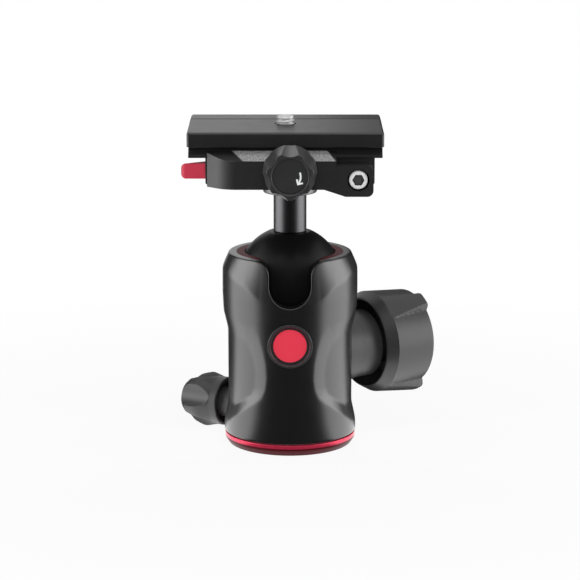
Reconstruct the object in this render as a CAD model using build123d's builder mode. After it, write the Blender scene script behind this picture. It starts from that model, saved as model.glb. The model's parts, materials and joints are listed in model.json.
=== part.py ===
from build123d import *
import math
import os

# A tripod ball head with a quick-release clamp and its camera plate, in millimetres.
# The origin is the middle of the underside, +Z is up and the front, with the portrait
# notch, faces -Y. The main knob is on the right (+X), the pan knob on the left.

os.makedirs("parts", exist_ok=True)

# ---- fits ---------------------------------------------------------------------------
RUN = 0.05  # radial clearance of a turning or sliding fit
GAP = 0.3  # free space between faces that move past each other
RAMP_GAP = 0.1  # slack between two ramps at rest
SCREW_GAP = 0.25  # clearance of a screw in a through hole

# ---- base ---------------------------------------------------------------------------
BASE_R = 22.0  # red band
FOOT_R = 20.7  # underside
FOOT_H = 1.9  # height of the tapered foot
BASE_T = 3.8
BASE_EDGE = 0.3
HUB_R = 12.0
HUB_H = 11.7
INSERT_R = 7.0
INSERT_L = 9.0
TRIPOD_BORE_R = 3.97  # 3/8"-16 thread, tapping size
RETAINER_OVER = 2.4  # retainer beyond the hub
RETAINER_T = 2.0
RETAINER_SCREW_R = 1.5
RETAINER_SCREW_L = 7.5
RETAINER_HEAD_R = 2.8
RETAINER_HEAD_T = 1.3
RETAINER_SOCKET_R = 0.9
RETAINER_SOCKET_DEPTH = 1.2
RETAINER_CIRCLE_IN = 2.6  # screw circle inside the hub
WASHER_T = 0.5

# ---- housing ------------------------------------------------------------------------
BODY_FOOT_R = 22.2
BODY_FOOT_TOP = 7.6
BODY_R = 22.3  # between the foot and the shoulder
SHOULDER_LOW = 44.0
SHOULDER_R = 22.7
SHOULDER_TOP = 60.5
RIM_R = 20.5
RIM_Z = 65.5
EDGE_ROUND = 4.0  # soft corners of the outline
WAIST_R = 20.9  # bottom of the side grips
GRIP_LOW = 7.5
GRIP_HIGH = 45.5
GRIP_RAMP = 5.0  # height over which a grip runs out
# half outline of the grip as seen from the front: distance from the middle, height
GRIP_EDGE = [(13.0, 43.8), (9.4, 36.4), (7.8, 26.3), (9.7, 19.5), (15.4, 14.3)]
CAVITY_OVER = 3.6  # room around the hub
WEB_LOW = 20.0
WEB_HIGH = 35.5
SPRING_T = 0.5  # wave washer under the cup
SPRING_IN = 2.0  # its distance from the cup's stem
SPRING_OUT = 1.5  # and from the wall of the bore
WASHER_INSET = 2.0  # lower pan washer inside the foot

# ---- ball, cup and seat -------------------------------------------------------------
BALL_R = 17.5
BALL_Z = 56.3
NECK_R = 6.9  # flat on the ball under the stem
LINER_GAP = 0.25
LINER_T = 0.5
LINER_HALF_ANGLE = 24.0
CUP_R = 17.75
CUP_TOP = 46.5
CUP_RISE = 0.25  # travel from free to locked
CUP_STEM_R = 6.5
SEAT_LOW = 60.0

# ---- portrait notch -----------------------------------------------------------------
NOTCH_HALF = 6.9
NOTCH_Z = 57.4  # centre of its round bottom
NOTCH_FLARE_R = 5.0

# ---- badge --------------------------------------------------------------------------
BADGE_Z = 37.8
BEZEL_R = 7.4
BEZEL_LIP = 1.1
BEZEL_PROUD = 0.45
BADGE_R = 5.5
BADGE_SEAT_DEPTH = 1.7  # its seat below the body's surface
BADGE_T = 1.2
BADGE_STEP = 0.4  # its middle stands this much higher than its edge

# ---- main lock ----------------------------------------------------------------------
MAIN_Z = 30.0
MAIN_BACK_ANGLE = 33.0  # turned back from +X
WEDGE_R = 4.5
WEDGE_TRAVEL = 1.25
WEDGE_INNER = -7.0  # inner end, along the knob's axis
WEDGE_OUTER = 12.5
WEDGE_FACE_Z = 31.0  # height of the ramp on the vertical axis
MAIN_SCREW_R = 4.0
MAIN_BUSH_R = 5.3
MAIN_BUSH_INNER = 13.9
MAIN_BUSH_OUTER = 26.0
COLLAR_R = 9.5
COLLAR_SEAT = 18.6
COLLAR_END = 30.6
KNOB_R = 17.5  # at the end of the chamfer
KNOB_LOBE_R = 19.3  # crest of a ridge, at the front
KNOB_REAR = 29.4
KNOB_REAR_R = 15.5
KNOB_CHAMFER_END = 33.1
KNOB_END = 48.6
KNOB_WALL = 1.6
KNOB_LIP = 0.5  # step inside the rear edge
KNOB_ROUND = 1.2  # bevel of the front edge
KNOB_FLOOR = 42.0
KNOB_HUB_R = 7.6
KNOB_CAP_R = 9.0
KNOB_CAP_T = 1.4
CAP_EDGE = 0.3
KNOB_HOLLOW_R = 16.3  # floor of the hollows at the front; at the chamfer it is the grip itself
KNOB_HOLLOWS = 3
KNOB_HOLLOW_START = 43.0  # half angle of a hollow at the chamfer
KNOB_HOLLOW_FOOT = 49.5  # half angle of its floor at the front
KNOB_HOLLOW_BRIM = 53.0  # half angle at the top of its walls at the front
KNOB_HOLLOW_TURN = -5.0  # middle of the first hollow, above the level of the axis

# ---- pan lock -----------------------------------------------------------------------
PAN_Z = 10.0
PAN_BACK_ANGLE = 30.0  # turned back from -X
SHOE_R = 3.0
SHOE_TRAVEL = 0.4
SHOE_L = 3.0
PAN_SCREW_R = 3.0
PAN_BUSH_SET = 1.9  # bush's outer end inside the body
PAN_BUSH_R = 4.4
PAN_COLLAR_R = 5.4
PAN_COLLAR_SINK = 2.7  # collar's seat inside the body
PAN_COLLAR_END = 26.2
PAN_KNOB_REAR = 24.9
PAN_KNOB_BAND_R = 8.3
PAN_KNOB_BAND_END = 27.8
PAN_KNOB_R = 9.3  # where the grip is widest
PAN_KNOB_WIDEST = 31.0
PAN_KNOB_EDGE = 0.5  # bevel of the rear edge
PAN_KNOB_ROUND = 1.0  # bevel of the front edge
PAN_VALLEY_START = 28.6
PAN_KNOB_END = 41.0
PAN_KNOB_END_R = 5.6
PAN_KNOB_HOLLOW_R = 7.3
PAN_KNOB_FLOOR = 28.2
PAN_KNOB_HUB_R = 4.6
PAN_CAP_R = 3.6
PAN_CAP_T = 0.8
PAN_LOBES = 5
PAN_VALLEY_R = 3.8
PAN_VALLEY_DEPTH = 1.2  # below the end's edge

# ---- stem ---------------------------------------------------------------------------
STEM_R = 5.5
STEM_SPIGOT_R = 4.0
STEM_SPIGOT_L = 12.0
BOSS_R = 9.0
BOSS_T = 5.0
BOSS_EDGE = 0.6

# ---- clamp --------------------------------------------------------------------------
CLAMP_LOW = 90.6
CLAMP_FLOOR = 100.0
CLAMP_HALF_X = 27.6
CLAMP_CORNER = 2.0
CLAMP_EDGE = 0.8
JAW_OVER = 4.0  # the jaws reach this far past the plate's sides
JAW_T = 8.0  # front jaw, from its face to the clamp base
JAW_LIP_TOP = 102.2
JAW_FRONT_TOP = 99.9
JAW_END_X = 27.0
JAW_LIP_END_X = 15.0  # the lip ends here, before the ear
JAW_CORNER = 6.0
JAW_TRAVEL = 3.0
EAR_LOW = 88.3
EAR_TOP = 98.3
EAR_SLOPE = (11.0, 18.0)  # where the lower edge starts to fall and where the ear is full
CLAMP_SCREW_R = 3.0
CLAMP_SCREW_HEAD_R = 5.6
CLAMP_SCREW_L = 20.0
CLAMP_SOCKET_R = 2.3  # across corners, halved
CLAMP_SOCKET_DEPTH = 2.4
DOWEL_R = 1.25
DOWEL_X = 7.2
DOWEL_L = 8.0
STUD_R = 2.5
STUD_Z = 97.0
STUD_INNER_Y = -6.0
STUD_PROUD = 10.0  # length in front of the jaw
GUIDE_X = 22.1
GUIDE_Z = 93.7
GUIDE_R = 1.9
GUIDE_HEAD_R = 3.0
GUIDE_HEAD_T = 3.0
GUIDE_HEAD_EDGE = 0.3
GUIDE_HEX = 4.0  # across corners of the socket
GUIDE_COUNTERBORE_R = 3.6
GUIDE_SINK = 0.4  # head below the jaw's face
GUIDE_L = 16.0
GUIDE_PIN_X = -13.0
GUIDE_PIN_Z = 94.0
GUIDE_PIN_R = 1.25
GUIDE_PIN_DEPTH = 6.0  # in the clamp base
GUIDE_PIN_SKIN = 2.0  # left in front of it in the jaw
JAW_SPRING_X = 8.0
JAW_SPRING_Z = 95.0
JAW_SPRING_R = 2.0
JAW_SPRING_WIRE = 0.5
JAW_SPRING_POCKET = 8.0
KNOB_WASHER_T = 0.3
KNOB_WASHER_R = 5.0
LOCK_KNOB_R = 8.85  # behind
LOCK_KNOB_END_R = 7.1  # at the front
LOCK_KNOB_L = 12.7
LOCK_KNOB_NECK_R = 7.0
LOCK_KNOB_NECK_L = 2.2
LOCK_LOBES = 7
LOCK_VALLEY_R = 4.0
LOCK_VALLEY_DEPTH = 0.8  # at the front; a valley runs out towards the neck
LOCK_KNOB_EDGE = 0.5
LOCK_KNOB_SKIN = 0.9  # left between the stud's bore and the cap
LOCK_CAP_R = 5.65
LOCK_CAP_RECESS = 1.5
LOCK_CAP_T = 1.0

# ---- safety catch -------------------------------------------------------------------
BUTTON_W = 8.0
BUTTON_WALL = 1.0  # of the clamp base, between button and jaw
BUTTON_LOW = 92.7
BUTTON_H = 5.1
BUTTON_TIP_X = -35.6
BUTTON_INNER_X = -18.6
BUTTON_TRAVEL = 2.5
BUTTON_ROUND = 1.6
BUTTON_RAMP_X = -25.0  # outer end of the ramp
BUTTON_BORE_R = 0.85
BUTTON_BORE_L = 9.0
BUTTON_BORE_OFF = 2.8  # from the button's middle, towards the jaw
BUTTON_BORE_Z = 95.2
BUTTON_SPRING_WIRE = 0.3
CATCH_X = -20.5
CATCH_R = 1.5
CATCH_TOP = 101.2
CATCH_RISE = 1.4
CATCH_ROUND = 0.4
CATCH_FOOT_Z = 96.3  # height of the button's ramp under the catch

# ---- plate --------------------------------------------------------------------------
PLATE_L = 64.0
PLATE_X = -1.5  # its middle stands this far from the stem
PLATE_W = 42.0
PLATE_H = 8.6  # from the floor of the clamp to the top
SLAB_T = 4.8
FLANGE_STEP = 2.0  # the flange is this much inside the slab on each side
FLANGE_EDGE = 0.8  # upright edge of the dovetail
FLANGE_UNDERCUT = 2.4  # depth of the dovetail on each side
FLANGE_FIT = 0.1  # slack between the dovetail and the jaws
FLANGE_INSET = 0.4  # the flange is this much shorter at each end
PLATE_CORNER = 1.0
PLATE_EDGE = 0.5
PLATE_LINE_Y = 10.0
PLATE_LINE_W = 0.8
PLATE_LINE_DEPTH = 0.4
SLOT_W = 4.0
SLOT_DEPTH = 1.8
SLOT_X = (-29.0, 26.0)
STOP_R = 1.5
STOP_BITE = 1.0  # how far a stop stands into the slot
STOP_L = 3.4
CAMERA_R = 3.175  # 1/4"-20
CAMERA_PROUD = 2.5
CAMERA_SHANK_R = 2.6
CAMERA_HEAD_R = 7.5
CAMERA_HEAD_T = 2.6
CAMERA_POCKET_R = 8.0
CAMERA_POCKET_H = 4.0
CAMERA_SLOT_W = 1.6
CAMERA_EDGE = 0.4
RETAINER_RING_T = 0.6
RETAINER_RING_R = 6.4

# ---- places worked out from the sizes -----------------------------------------------
HUB_TOP = BASE_T + HUB_H
RETAINER_R = HUB_R + RETAINER_OVER
RETAINER_CIRCLE_R = HUB_R - RETAINER_CIRCLE_IN
CAVITY_R = HUB_R + CAVITY_OVER
BODY_LOW = BASE_T + WASHER_T
LEDGE_Z = HUB_TOP - WASHER_T
CUP_LOW = WEB_HIGH + SPRING_T
CUP_BORE_R = CUP_R + RUN
LINER_IN_R = BALL_R + LINER_GAP
LINER_OUT_R = LINER_IN_R + LINER_T
CUP_SEAT_R = LINER_OUT_R + CUP_RISE + RUN
NECK_Z = BALL_Z + math.sqrt(BALL_R**2 - NECK_R**2)
STEM_TOP = CLAMP_LOW
BOSS_LOW = CLAMP_LOW - BOSS_T
SHOE_FACE = HUB_R + RUN + SHOE_TRAVEL
SHOE_BACK = SHOE_FACE + SHOE_L
PAN_BUSH_OUTER = BODY_R - PAN_BUSH_SET
PAN_COLLAR_SEAT = BODY_R - PAN_COLLAR_SINK
RAMP_SLOPE = CUP_RISE / WEDGE_TRAVEL
CATCH_SLOPE = CATCH_RISE / BUTTON_TRAVEL
BADGE_SEAT_Y = BADGE_SEAT_DEPTH - BODY_R
PLATE_TOP = CLAMP_FLOOR + PLATE_H
SLAB_LOW = PLATE_TOP - SLAB_T
FLANGE_HALF = PLATE_W / 2 - FLANGE_STEP
NECK_HALF = FLANGE_HALF - FLANGE_UNDERCUT
CLAMP_REAR_Y = PLATE_W / 2 + JAW_OVER
JAW_FRONT_Y = -CLAMP_REAR_Y
JAW_SPLIT_Y = JAW_FRONT_Y + JAW_T  # front face of the clamp base
STUD_OUTER_Y = JAW_FRONT_Y - STUD_PROUD
GUIDE_PIN_INNER_Y = JAW_SPLIT_Y + GUIDE_PIN_DEPTH
GUIDE_PIN_OUTER_Y = JAW_FRONT_Y + GUIDE_PIN_SKIN
BUTTON_Y = JAW_SPLIT_Y + BUTTON_WALL + BUTTON_W / 2
BUTTON_BORE_Y = BUTTON_Y - BUTTON_BORE_OFF
GUIDE_HEAD_BACK = JAW_FRONT_Y + GUIDE_SINK + GUIDE_HEAD_T
GUIDE_END = GUIDE_HEAD_BACK + GUIDE_L
LOCK_REAR_Y = JAW_FRONT_Y - KNOB_WASHER_T - LOCK_KNOB_NECK_L
LOCK_END_Y = JAW_FRONT_Y - KNOB_WASHER_T - LOCK_KNOB_L
KNOB_HUB_START = COLLAR_END + WEDGE_TRAVEL + GAP
PAN_HUB_START = PAN_COLLAR_END + SHOE_TRAVEL + GAP
STOP_PLACES = [
    (SLOT_X[0] - STOP_R + STOP_BITE, BUTTON_Y), (SLOT_X[1] + STOP_R - STOP_BITE, BUTTON_Y),
]
BUTTON_ROOM = BUTTON_INNER_X + BUTTON_TRAVEL + GAP  # inner end of the button's pocket


def lock_axis(angle, side, height):
    """Profile plane (along, up), cross plane and axis of a lock that points outward."""
    turn = math.radians(angle)
    outward = Vector(side * math.cos(turn), math.sin(turn), 0)
    start = Vector(0, 0, height)
    across = outward.cross(Vector(0, 0, 1))
    profile = Plane(origin=start, x_dir=outward, z_dir=across)
    cross = Plane(origin=start, x_dir=Vector(0, 0, 1), z_dir=outward)
    return profile, cross, Axis(start, outward)


MAIN_PROFILE, MAIN_CROSS, MAIN_AXIS = lock_axis(MAIN_BACK_ANGLE, 1, MAIN_Z)
PAN_PROFILE, PAN_CROSS, PAN_AXIS = lock_axis(PAN_BACK_ANGLE, -1, PAN_Z)
LOCK_FRONT = Plane(origin=(0, JAW_FRONT_Y, STUD_Z), x_dir=(1, 0, 0), z_dir=(0, -1, 0))
GUIDE_FRONT = Plane(origin=(GUIDE_X, JAW_FRONT_Y, GUIDE_Z), x_dir=(1, 0, 0), z_dir=(0, -1, 0))


def save(piece, name):
    """Name a finished piece and write it."""
    piece.part.label = name
    export_step(piece.part, f"parts/{name}.step")


# ======== base =======================================================================
with BuildPart() as base_disc:
    with BuildSketch(Plane.XZ):
        Polygon(
            (0, 0), (FOOT_R, 0), (BASE_R, FOOT_H), (BASE_R, BASE_T), (HUB_R, BASE_T),
            (HUB_R, HUB_TOP), (0, HUB_TOP), align=None,
        )
    revolve(axis=Axis.Z)
    with BuildSketch(Plane.XY):
        Circle(INSERT_R)
    extrude(amount=INSERT_L, mode=Mode.SUBTRACT)
    with BuildSketch(Plane.XY.offset(HUB_TOP)):
        with PolarLocations(RETAINER_CIRCLE_R, 3):
            Circle(RETAINER_SCREW_R)
    extrude(amount=-(RETAINER_SCREW_L - RETAINER_T), mode=Mode.SUBTRACT)
    chamfer(base_disc.edges().filter_by(GeomType.CIRCLE).filter_by_position(Axis.Z, BASE_T, BASE_T)
            .sort_by(SortBy.RADIUS)[-1], BASE_EDGE)
save(base_disc, "base_disc")

with BuildPart() as thread_insert:
    Cylinder(INSERT_R, INSERT_L, align=(Align.CENTER, Align.CENTER, Align.MIN))
    Cylinder(TRIPOD_BORE_R, INSERT_L, align=(Align.CENTER, Align.CENTER, Align.MIN), mode=Mode.SUBTRACT)
save(thread_insert, "thread_insert")

with BuildPart() as pan_retainer:
    with BuildSketch(Plane.XY.offset(HUB_TOP)):
        Circle(RETAINER_R)
    extrude(amount=RETAINER_T)
    with Locations(Plane.XY.offset(HUB_TOP + RETAINER_T)):
        with PolarLocations(RETAINER_CIRCLE_R, 3):
            CounterSinkHole(RETAINER_SCREW_R, RETAINER_HEAD_R, counter_sink_angle=90)
save(pan_retainer, "pan_retainer")

with BuildPart() as retainer_screws:
    with Locations(Plane.XY.offset(HUB_TOP + RETAINER_T)):
        with PolarLocations(RETAINER_CIRCLE_R, 3):
            Cylinder(RETAINER_SCREW_R, RETAINER_SCREW_L, align=(Align.CENTER, Align.CENTER, Align.MAX))
            Cone(RETAINER_SCREW_R, RETAINER_HEAD_R, RETAINER_HEAD_T,
                 align=(Align.CENTER, Align.CENTER, Align.MAX))
            Cylinder(RETAINER_SOCKET_R, RETAINER_SOCKET_DEPTH,
                     align=(Align.CENTER, Align.CENTER, Align.MAX), mode=Mode.SUBTRACT)
save(retainer_screws, "retainer_screws")

# ======== housing ====================================================================
with BuildPart() as grips:
    # Room that the two side grips take out of the body, between the waist and the outside.
    with BuildSketch(Plane.XZ):
        Polygon(
            (WAIST_R + GRIP_RAMP, GRIP_LOW), (WAIST_R, GRIP_LOW + GRIP_RAMP),
            (WAIST_R, GRIP_HIGH - GRIP_RAMP), (WAIST_R + GRIP_RAMP, GRIP_HIGH), align=None,
        )
    revolve(axis=Axis.Z)
    with BuildSketch(Plane.XZ):
        Polygon(*GRIP_EDGE, (2 * BODY_R, GRIP_LOW), (2 * BODY_R, GRIP_HIGH), align=None)
        mirror(about=Plane.YZ)
    extrude(amount=2 * BODY_R, both=True, mode=Mode.INTERSECT)

with BuildPart() as housing:
    with BuildSketch(Plane.XZ) as outline:
        Polygon(
            (0, BODY_LOW), (BODY_FOOT_R, BODY_LOW), (BODY_FOOT_R, BODY_FOOT_TOP), (BODY_R, SHOULDER_LOW),
            (SHOULDER_R, (SHOULDER_LOW + SHOULDER_TOP) / 2), (SHOULDER_R, SHOULDER_TOP), (RIM_R, RIM_Z),
            (0, RIM_Z), align=None,
        )
        fillet(outline.vertices().filter_by(lambda v: v.X > RIM_R + GAP and v.Y > BODY_FOOT_TOP), EDGE_ROUND)
    revolve(axis=Axis.Z)
    add(grips.part, mode=Mode.SUBTRACT)
    # the bores, from the hub up to the seat
    with BuildSketch(Plane.XZ):
        Polygon(
            (0, BODY_LOW), (HUB_R + RUN, BODY_LOW), (HUB_R + RUN, LEDGE_Z), (CAVITY_R, LEDGE_Z),
            (CAVITY_R, WEB_LOW), (CUP_STEM_R + RUN, WEB_LOW), (CUP_STEM_R + RUN, WEB_HIGH),
            (CUP_BORE_R, WEB_HIGH), (CUP_BORE_R, RIM_Z), (0, RIM_Z), align=None,
        )
    revolve(axis=Axis.Z, mode=Mode.SUBTRACT)
    # cross bore of the main lock: wedge, bush and collar seat
    with BuildSketch(MAIN_PROFILE):
        Polygon(
            (WEDGE_INNER - WEDGE_TRAVEL - GAP, 0), (WEDGE_INNER - WEDGE_TRAVEL - GAP, WEDGE_R + RUN),
            (MAIN_BUSH_INNER, WEDGE_R + RUN), (MAIN_BUSH_INNER, MAIN_BUSH_R), (COLLAR_SEAT, MAIN_BUSH_R),
            (COLLAR_SEAT, COLLAR_R), (COLLAR_END, COLLAR_R), (COLLAR_END, 0), align=None,
        )
    revolve(axis=MAIN_AXIS, mode=Mode.SUBTRACT)
    # cross bore of the pan lock: shoe, bush and collar seat
    with BuildSketch(PAN_PROFILE):
        Polygon(
            (HUB_R - RUN, 0), (HUB_R - RUN, SHOE_R + RUN), (SHOE_BACK, SHOE_R + RUN), (SHOE_BACK, PAN_BUSH_R),
            (PAN_COLLAR_SEAT, PAN_BUSH_R), (PAN_COLLAR_SEAT, PAN_COLLAR_R), (PAN_COLLAR_END, PAN_COLLAR_R),
            (PAN_COLLAR_END, 0), align=None,
        )
    revolve(axis=PAN_AXIS, mode=Mode.SUBTRACT)
    # badge seat
    with BuildSketch(Plane(origin=(0, BADGE_SEAT_Y, BADGE_Z), x_dir=(1, 0, 0), z_dir=(0, -1, 0))):
        Circle(BEZEL_R)
    extrude(amount=BODY_R, mode=Mode.SUBTRACT)
    # portrait notch with its flared mouth
    with BuildSketch(Plane.XZ) as notch:
        with Locations((0, NOTCH_Z)):
            Circle(NOTCH_HALF)
            Rectangle(2 * NOTCH_HALF, RIM_Z, align=(Align.CENTER, Align.MIN))
        with Locations((0, RIM_Z - NOTCH_FLARE_R)):
            Rectangle(2 * (NOTCH_HALF + NOTCH_FLARE_R), RIM_Z, align=(Align.CENTER, Align.MIN))
        with Locations((-NOTCH_HALF - NOTCH_FLARE_R, RIM_Z - NOTCH_FLARE_R),
                       (NOTCH_HALF + NOTCH_FLARE_R, RIM_Z - NOTCH_FLARE_R)):
            Circle(NOTCH_FLARE_R, mode=Mode.SUBTRACT)
    extrude(amount=2 * BODY_R, mode=Mode.SUBTRACT)
save(housing, "housing")

with BuildPart() as seat_ring:
    with BuildSketch(Plane.XZ):
        Polygon((0, SEAT_LOW), (CUP_BORE_R, SEAT_LOW), (CUP_BORE_R, RIM_Z), (0, RIM_Z), align=None)
    revolve(axis=Axis.Z)
    with Locations((0, 0, BALL_Z)):
        Sphere(BALL_R + GAP, mode=Mode.SUBTRACT)
    extrude(notch.sketch, amount=2 * BODY_R, mode=Mode.SUBTRACT)
save(seat_ring, "seat_ring")

with BuildPart() as badge_bezel:
    with BuildSketch(Plane(origin=(0, BADGE_SEAT_Y, BADGE_Z), x_dir=(1, 0, 0), z_dir=(0, -1, 0))):
        Circle(BEZEL_R)
    extrude(amount=BODY_R - abs(BADGE_SEAT_Y) + BEZEL_PROUD)
    with BuildSketch(Plane(origin=(0, BADGE_SEAT_Y, BADGE_Z), x_dir=(1, 0, 0), z_dir=(0, -1, 0))):
        Circle(BEZEL_R - BEZEL_LIP)
    extrude(amount=BODY_R, mode=Mode.SUBTRACT)
    chamfer(badge_bezel.faces().sort_by(Axis.Y)[0].edges(), BEZEL_PROUD / 2)
save(badge_bezel, "badge_bezel")

with BuildPart() as badge_disc:
    with BuildSketch(Plane(origin=(0, BADGE_SEAT_Y, BADGE_Z), x_dir=(1, 0, 0), z_dir=(0, -1, 0))):
        Circle(BEZEL_R - BEZEL_LIP)
    extrude(amount=BADGE_T - BADGE_STEP)
    with BuildSketch(Plane(origin=(0, BADGE_SEAT_Y, BADGE_Z), x_dir=(1, 0, 0), z_dir=(0, -1, 0))):
        Circle(BADGE_R)
    extrude(amount=BADGE_T)
save(badge_disc, "badge_disc")

with BuildPart() as pan_washer_lower:
    with BuildSketch(Plane.XY.offset(BASE_T)):
        Circle(BODY_FOOT_R - WASHER_INSET)
        Circle(HUB_R + GAP, mode=Mode.SUBTRACT)
    extrude(amount=WASHER_T)
save(pan_washer_lower, "pan_washer_lower")

with BuildPart() as pan_washer_upper:
    with BuildSketch(Plane.XY.offset(LEDGE_Z)):
        Circle(CAVITY_R - GAP)
        Circle(HUB_R + GAP, mode=Mode.SUBTRACT)
    extrude(amount=WASHER_T)
save(pan_washer_upper, "pan_washer_upper")

with BuildPart() as cup_spring:
    with BuildSketch(Plane.XY.offset(WEB_HIGH)):
        Circle(CUP_BORE_R - SPRING_OUT)
        Circle(CUP_STEM_R + SPRING_IN, mode=Mode.SUBTRACT)
    extrude(amount=SPRING_T)
save(cup_spring, "cup_spring")

# ======== main lock ==================================================================
with BuildPart() as main_bush:
    with BuildSketch(MAIN_PROFILE):
        Polygon(
            (MAIN_BUSH_INNER, MAIN_SCREW_R + RUN), (MAIN_BUSH_OUTER, MAIN_SCREW_R + RUN),
            (MAIN_BUSH_OUTER, MAIN_BUSH_R), (MAIN_BUSH_INNER, MAIN_BUSH_R), align=None,
        )
    revolve(axis=MAIN_AXIS)
save(main_bush, "main_bush")

with BuildPart() as main_collar:
    with BuildSketch(MAIN_PROFILE):
        Polygon(
            (COLLAR_SEAT, MAIN_BUSH_R), (MAIN_BUSH_OUTER, MAIN_BUSH_R),
            (MAIN_BUSH_OUTER, MAIN_SCREW_R + SCREW_GAP), (COLLAR_END, MAIN_SCREW_R + SCREW_GAP),
            (COLLAR_END, COLLAR_R), (COLLAR_SEAT, COLLAR_R), align=None,
        )
    revolve(axis=MAIN_AXIS)
save(main_collar, "main_collar")

with BuildPart() as lock_wedge:
    with BuildSketch(MAIN_PROFILE):
        Polygon((WEDGE_INNER, 0), (WEDGE_INNER, WEDGE_R), (WEDGE_OUTER, WEDGE_R), (WEDGE_OUTER, 0), align=None)
    revolve(axis=MAIN_AXIS)
    # ramp: it rises outward, so that the cup climbs when the wedge goes in
    ramp_end = CUP_STEM_R + WEDGE_TRAVEL + GAP
    ramp_low = WEDGE_FACE_Z - MAIN_Z
    with BuildSketch(MAIN_PROFILE):
        Polygon(
            (WEDGE_INNER, ramp_low + WEDGE_INNER * RAMP_SLOPE), (ramp_end, ramp_low + ramp_end * RAMP_SLOPE),
            (ramp_end, 2 * WEDGE_R), (WEDGE_INNER, 2 * WEDGE_R), align=None,
        )
    extrude(amount=WEDGE_R, both=True, mode=Mode.SUBTRACT)
save(lock_wedge, "lock_wedge")

with BuildPart() as main_screw:
    with BuildSketch(MAIN_PROFILE):
        Polygon(
            (WEDGE_OUTER, 0), (WEDGE_OUTER, MAIN_SCREW_R), (KNOB_END - KNOB_CAP_T, MAIN_SCREW_R),
            (KNOB_END - KNOB_CAP_T, 0), align=None,
        )
    revolve(axis=MAIN_AXIS)
save(main_screw, "main_screw")


def valley_cutters(cross, band, end, end_radius, valley_radius, depth, count, first_angle):
    """Sloping round bars that cut the finger valleys: nothing at the band, full depth at the end."""
    run = end - band
    bars = []
    for index in range(count):
        angle = math.radians(first_angle + index * 360 / count)
        out = Vector(math.cos(angle), math.sin(angle))
        shallow = cross.from_local_coords(Vector(out.X, out.Y, 0) * (end_radius + valley_radius)
                                          + Vector(0, 0, band))
        deep = cross.from_local_coords(Vector(out.X, out.Y, 0) * (end_radius + valley_radius - depth)
                                       + Vector(0, 0, end))
        slope = deep - shallow
        plane = Plane(origin=shallow - slope, z_dir=slope)
        bars.append(plane * Cylinder(valley_radius, 4 * run, align=(Align.CENTER, Align.CENTER, Align.MIN)))
    return bars


def hollow_wall(half_start, half_foot, half_brim, turn):
    """Flat wall of a hollow, through its start, its foot and its brim; angles from the camera side."""
    corners = []
    for angle, radius, along in (
        (half_start, KNOB_R, KNOB_CHAMFER_END), (half_foot, KNOB_HOLLOW_R, KNOB_END),
        (half_brim, KNOB_LOBE_R, KNOB_END),
    ):
        turned = math.radians(90 - turn - angle)
        corners.append(MAIN_CROSS.from_local_coords(
            Vector(radius * math.cos(turned), radius * math.sin(turned), along)))
    return Plane(origin=corners[0], x_dir=corners[1] - corners[0],
                 z_dir=(corners[1] - corners[0]).cross(corners[2] - corners[0]))


# Room of one hollow: a ring over the grip, cut off by the two walls.
with BuildPart() as hollow_ring:
    with BuildSketch(MAIN_PROFILE):
        Polygon(
            (KNOB_CHAMFER_END, KNOB_R), (KNOB_END, KNOB_HOLLOW_R), (KNOB_END + KNOB_ROUND, KNOB_HOLLOW_R),
            (KNOB_END + KNOB_ROUND, 2 * KNOB_R), (KNOB_CHAMFER_END, 2 * KNOB_R), align=None,
        )
    revolve(axis=MAIN_AXIS)
hollow_rooms = []
for index in range(KNOB_HOLLOWS):
    turn = KNOB_HOLLOW_TURN + index * 360 / KNOB_HOLLOWS
    middle = math.radians(90 - turn)
    inside = MAIN_CROSS.from_local_coords(
        Vector(KNOB_R * math.cos(middle), KNOB_R * math.sin(middle), KNOB_END))
    room = hollow_ring.part
    for side in (1, -1):
        wall = hollow_wall(side * KNOB_HOLLOW_START, side * KNOB_HOLLOW_FOOT, side * KNOB_HOLLOW_BRIM, turn)
        keep = Keep.TOP if wall.to_local_coords(inside).Z > 0 else Keep.BOTTOM
        room = split(room, bisect_by=wall, keep=keep)
    hollow_rooms.append(room)
with BuildPart() as main_knob:
    with BuildSketch(MAIN_PROFILE):
        Polygon(
            (KNOB_REAR, KNOB_REAR_R - KNOB_LIP), (KNOB_REAR, KNOB_REAR_R), (KNOB_CHAMFER_END, KNOB_R),
            (KNOB_END - KNOB_ROUND, KNOB_LOBE_R), (KNOB_END, KNOB_LOBE_R - KNOB_ROUND), (KNOB_END, KNOB_CAP_R),
            (KNOB_END - KNOB_CAP_T, KNOB_CAP_R), (KNOB_END - KNOB_CAP_T, MAIN_SCREW_R),
            (KNOB_HUB_START, MAIN_SCREW_R), (KNOB_HUB_START, KNOB_HUB_R), (KNOB_FLOOR, KNOB_HUB_R),
            (KNOB_FLOOR, KNOB_REAR_R - KNOB_WALL), (KNOB_CHAMFER_END, KNOB_REAR_R - KNOB_LIP), align=None,
        )
    revolve(axis=MAIN_AXIS)
    for room in hollow_rooms:
        add(room, mode=Mode.SUBTRACT)
save(main_knob, "main_knob")

with BuildPart() as main_knob_cap:
    with BuildSketch(MAIN_PROFILE):
        Polygon(
            (KNOB_END - KNOB_CAP_T, 0), (KNOB_END - KNOB_CAP_T, KNOB_CAP_R), (KNOB_END - CAP_EDGE, KNOB_CAP_R),
            (KNOB_END, KNOB_CAP_R - CAP_EDGE), (KNOB_END, 0), align=None,
        )
    revolve(axis=MAIN_AXIS)
save(main_knob_cap, "main_knob_cap")

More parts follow.
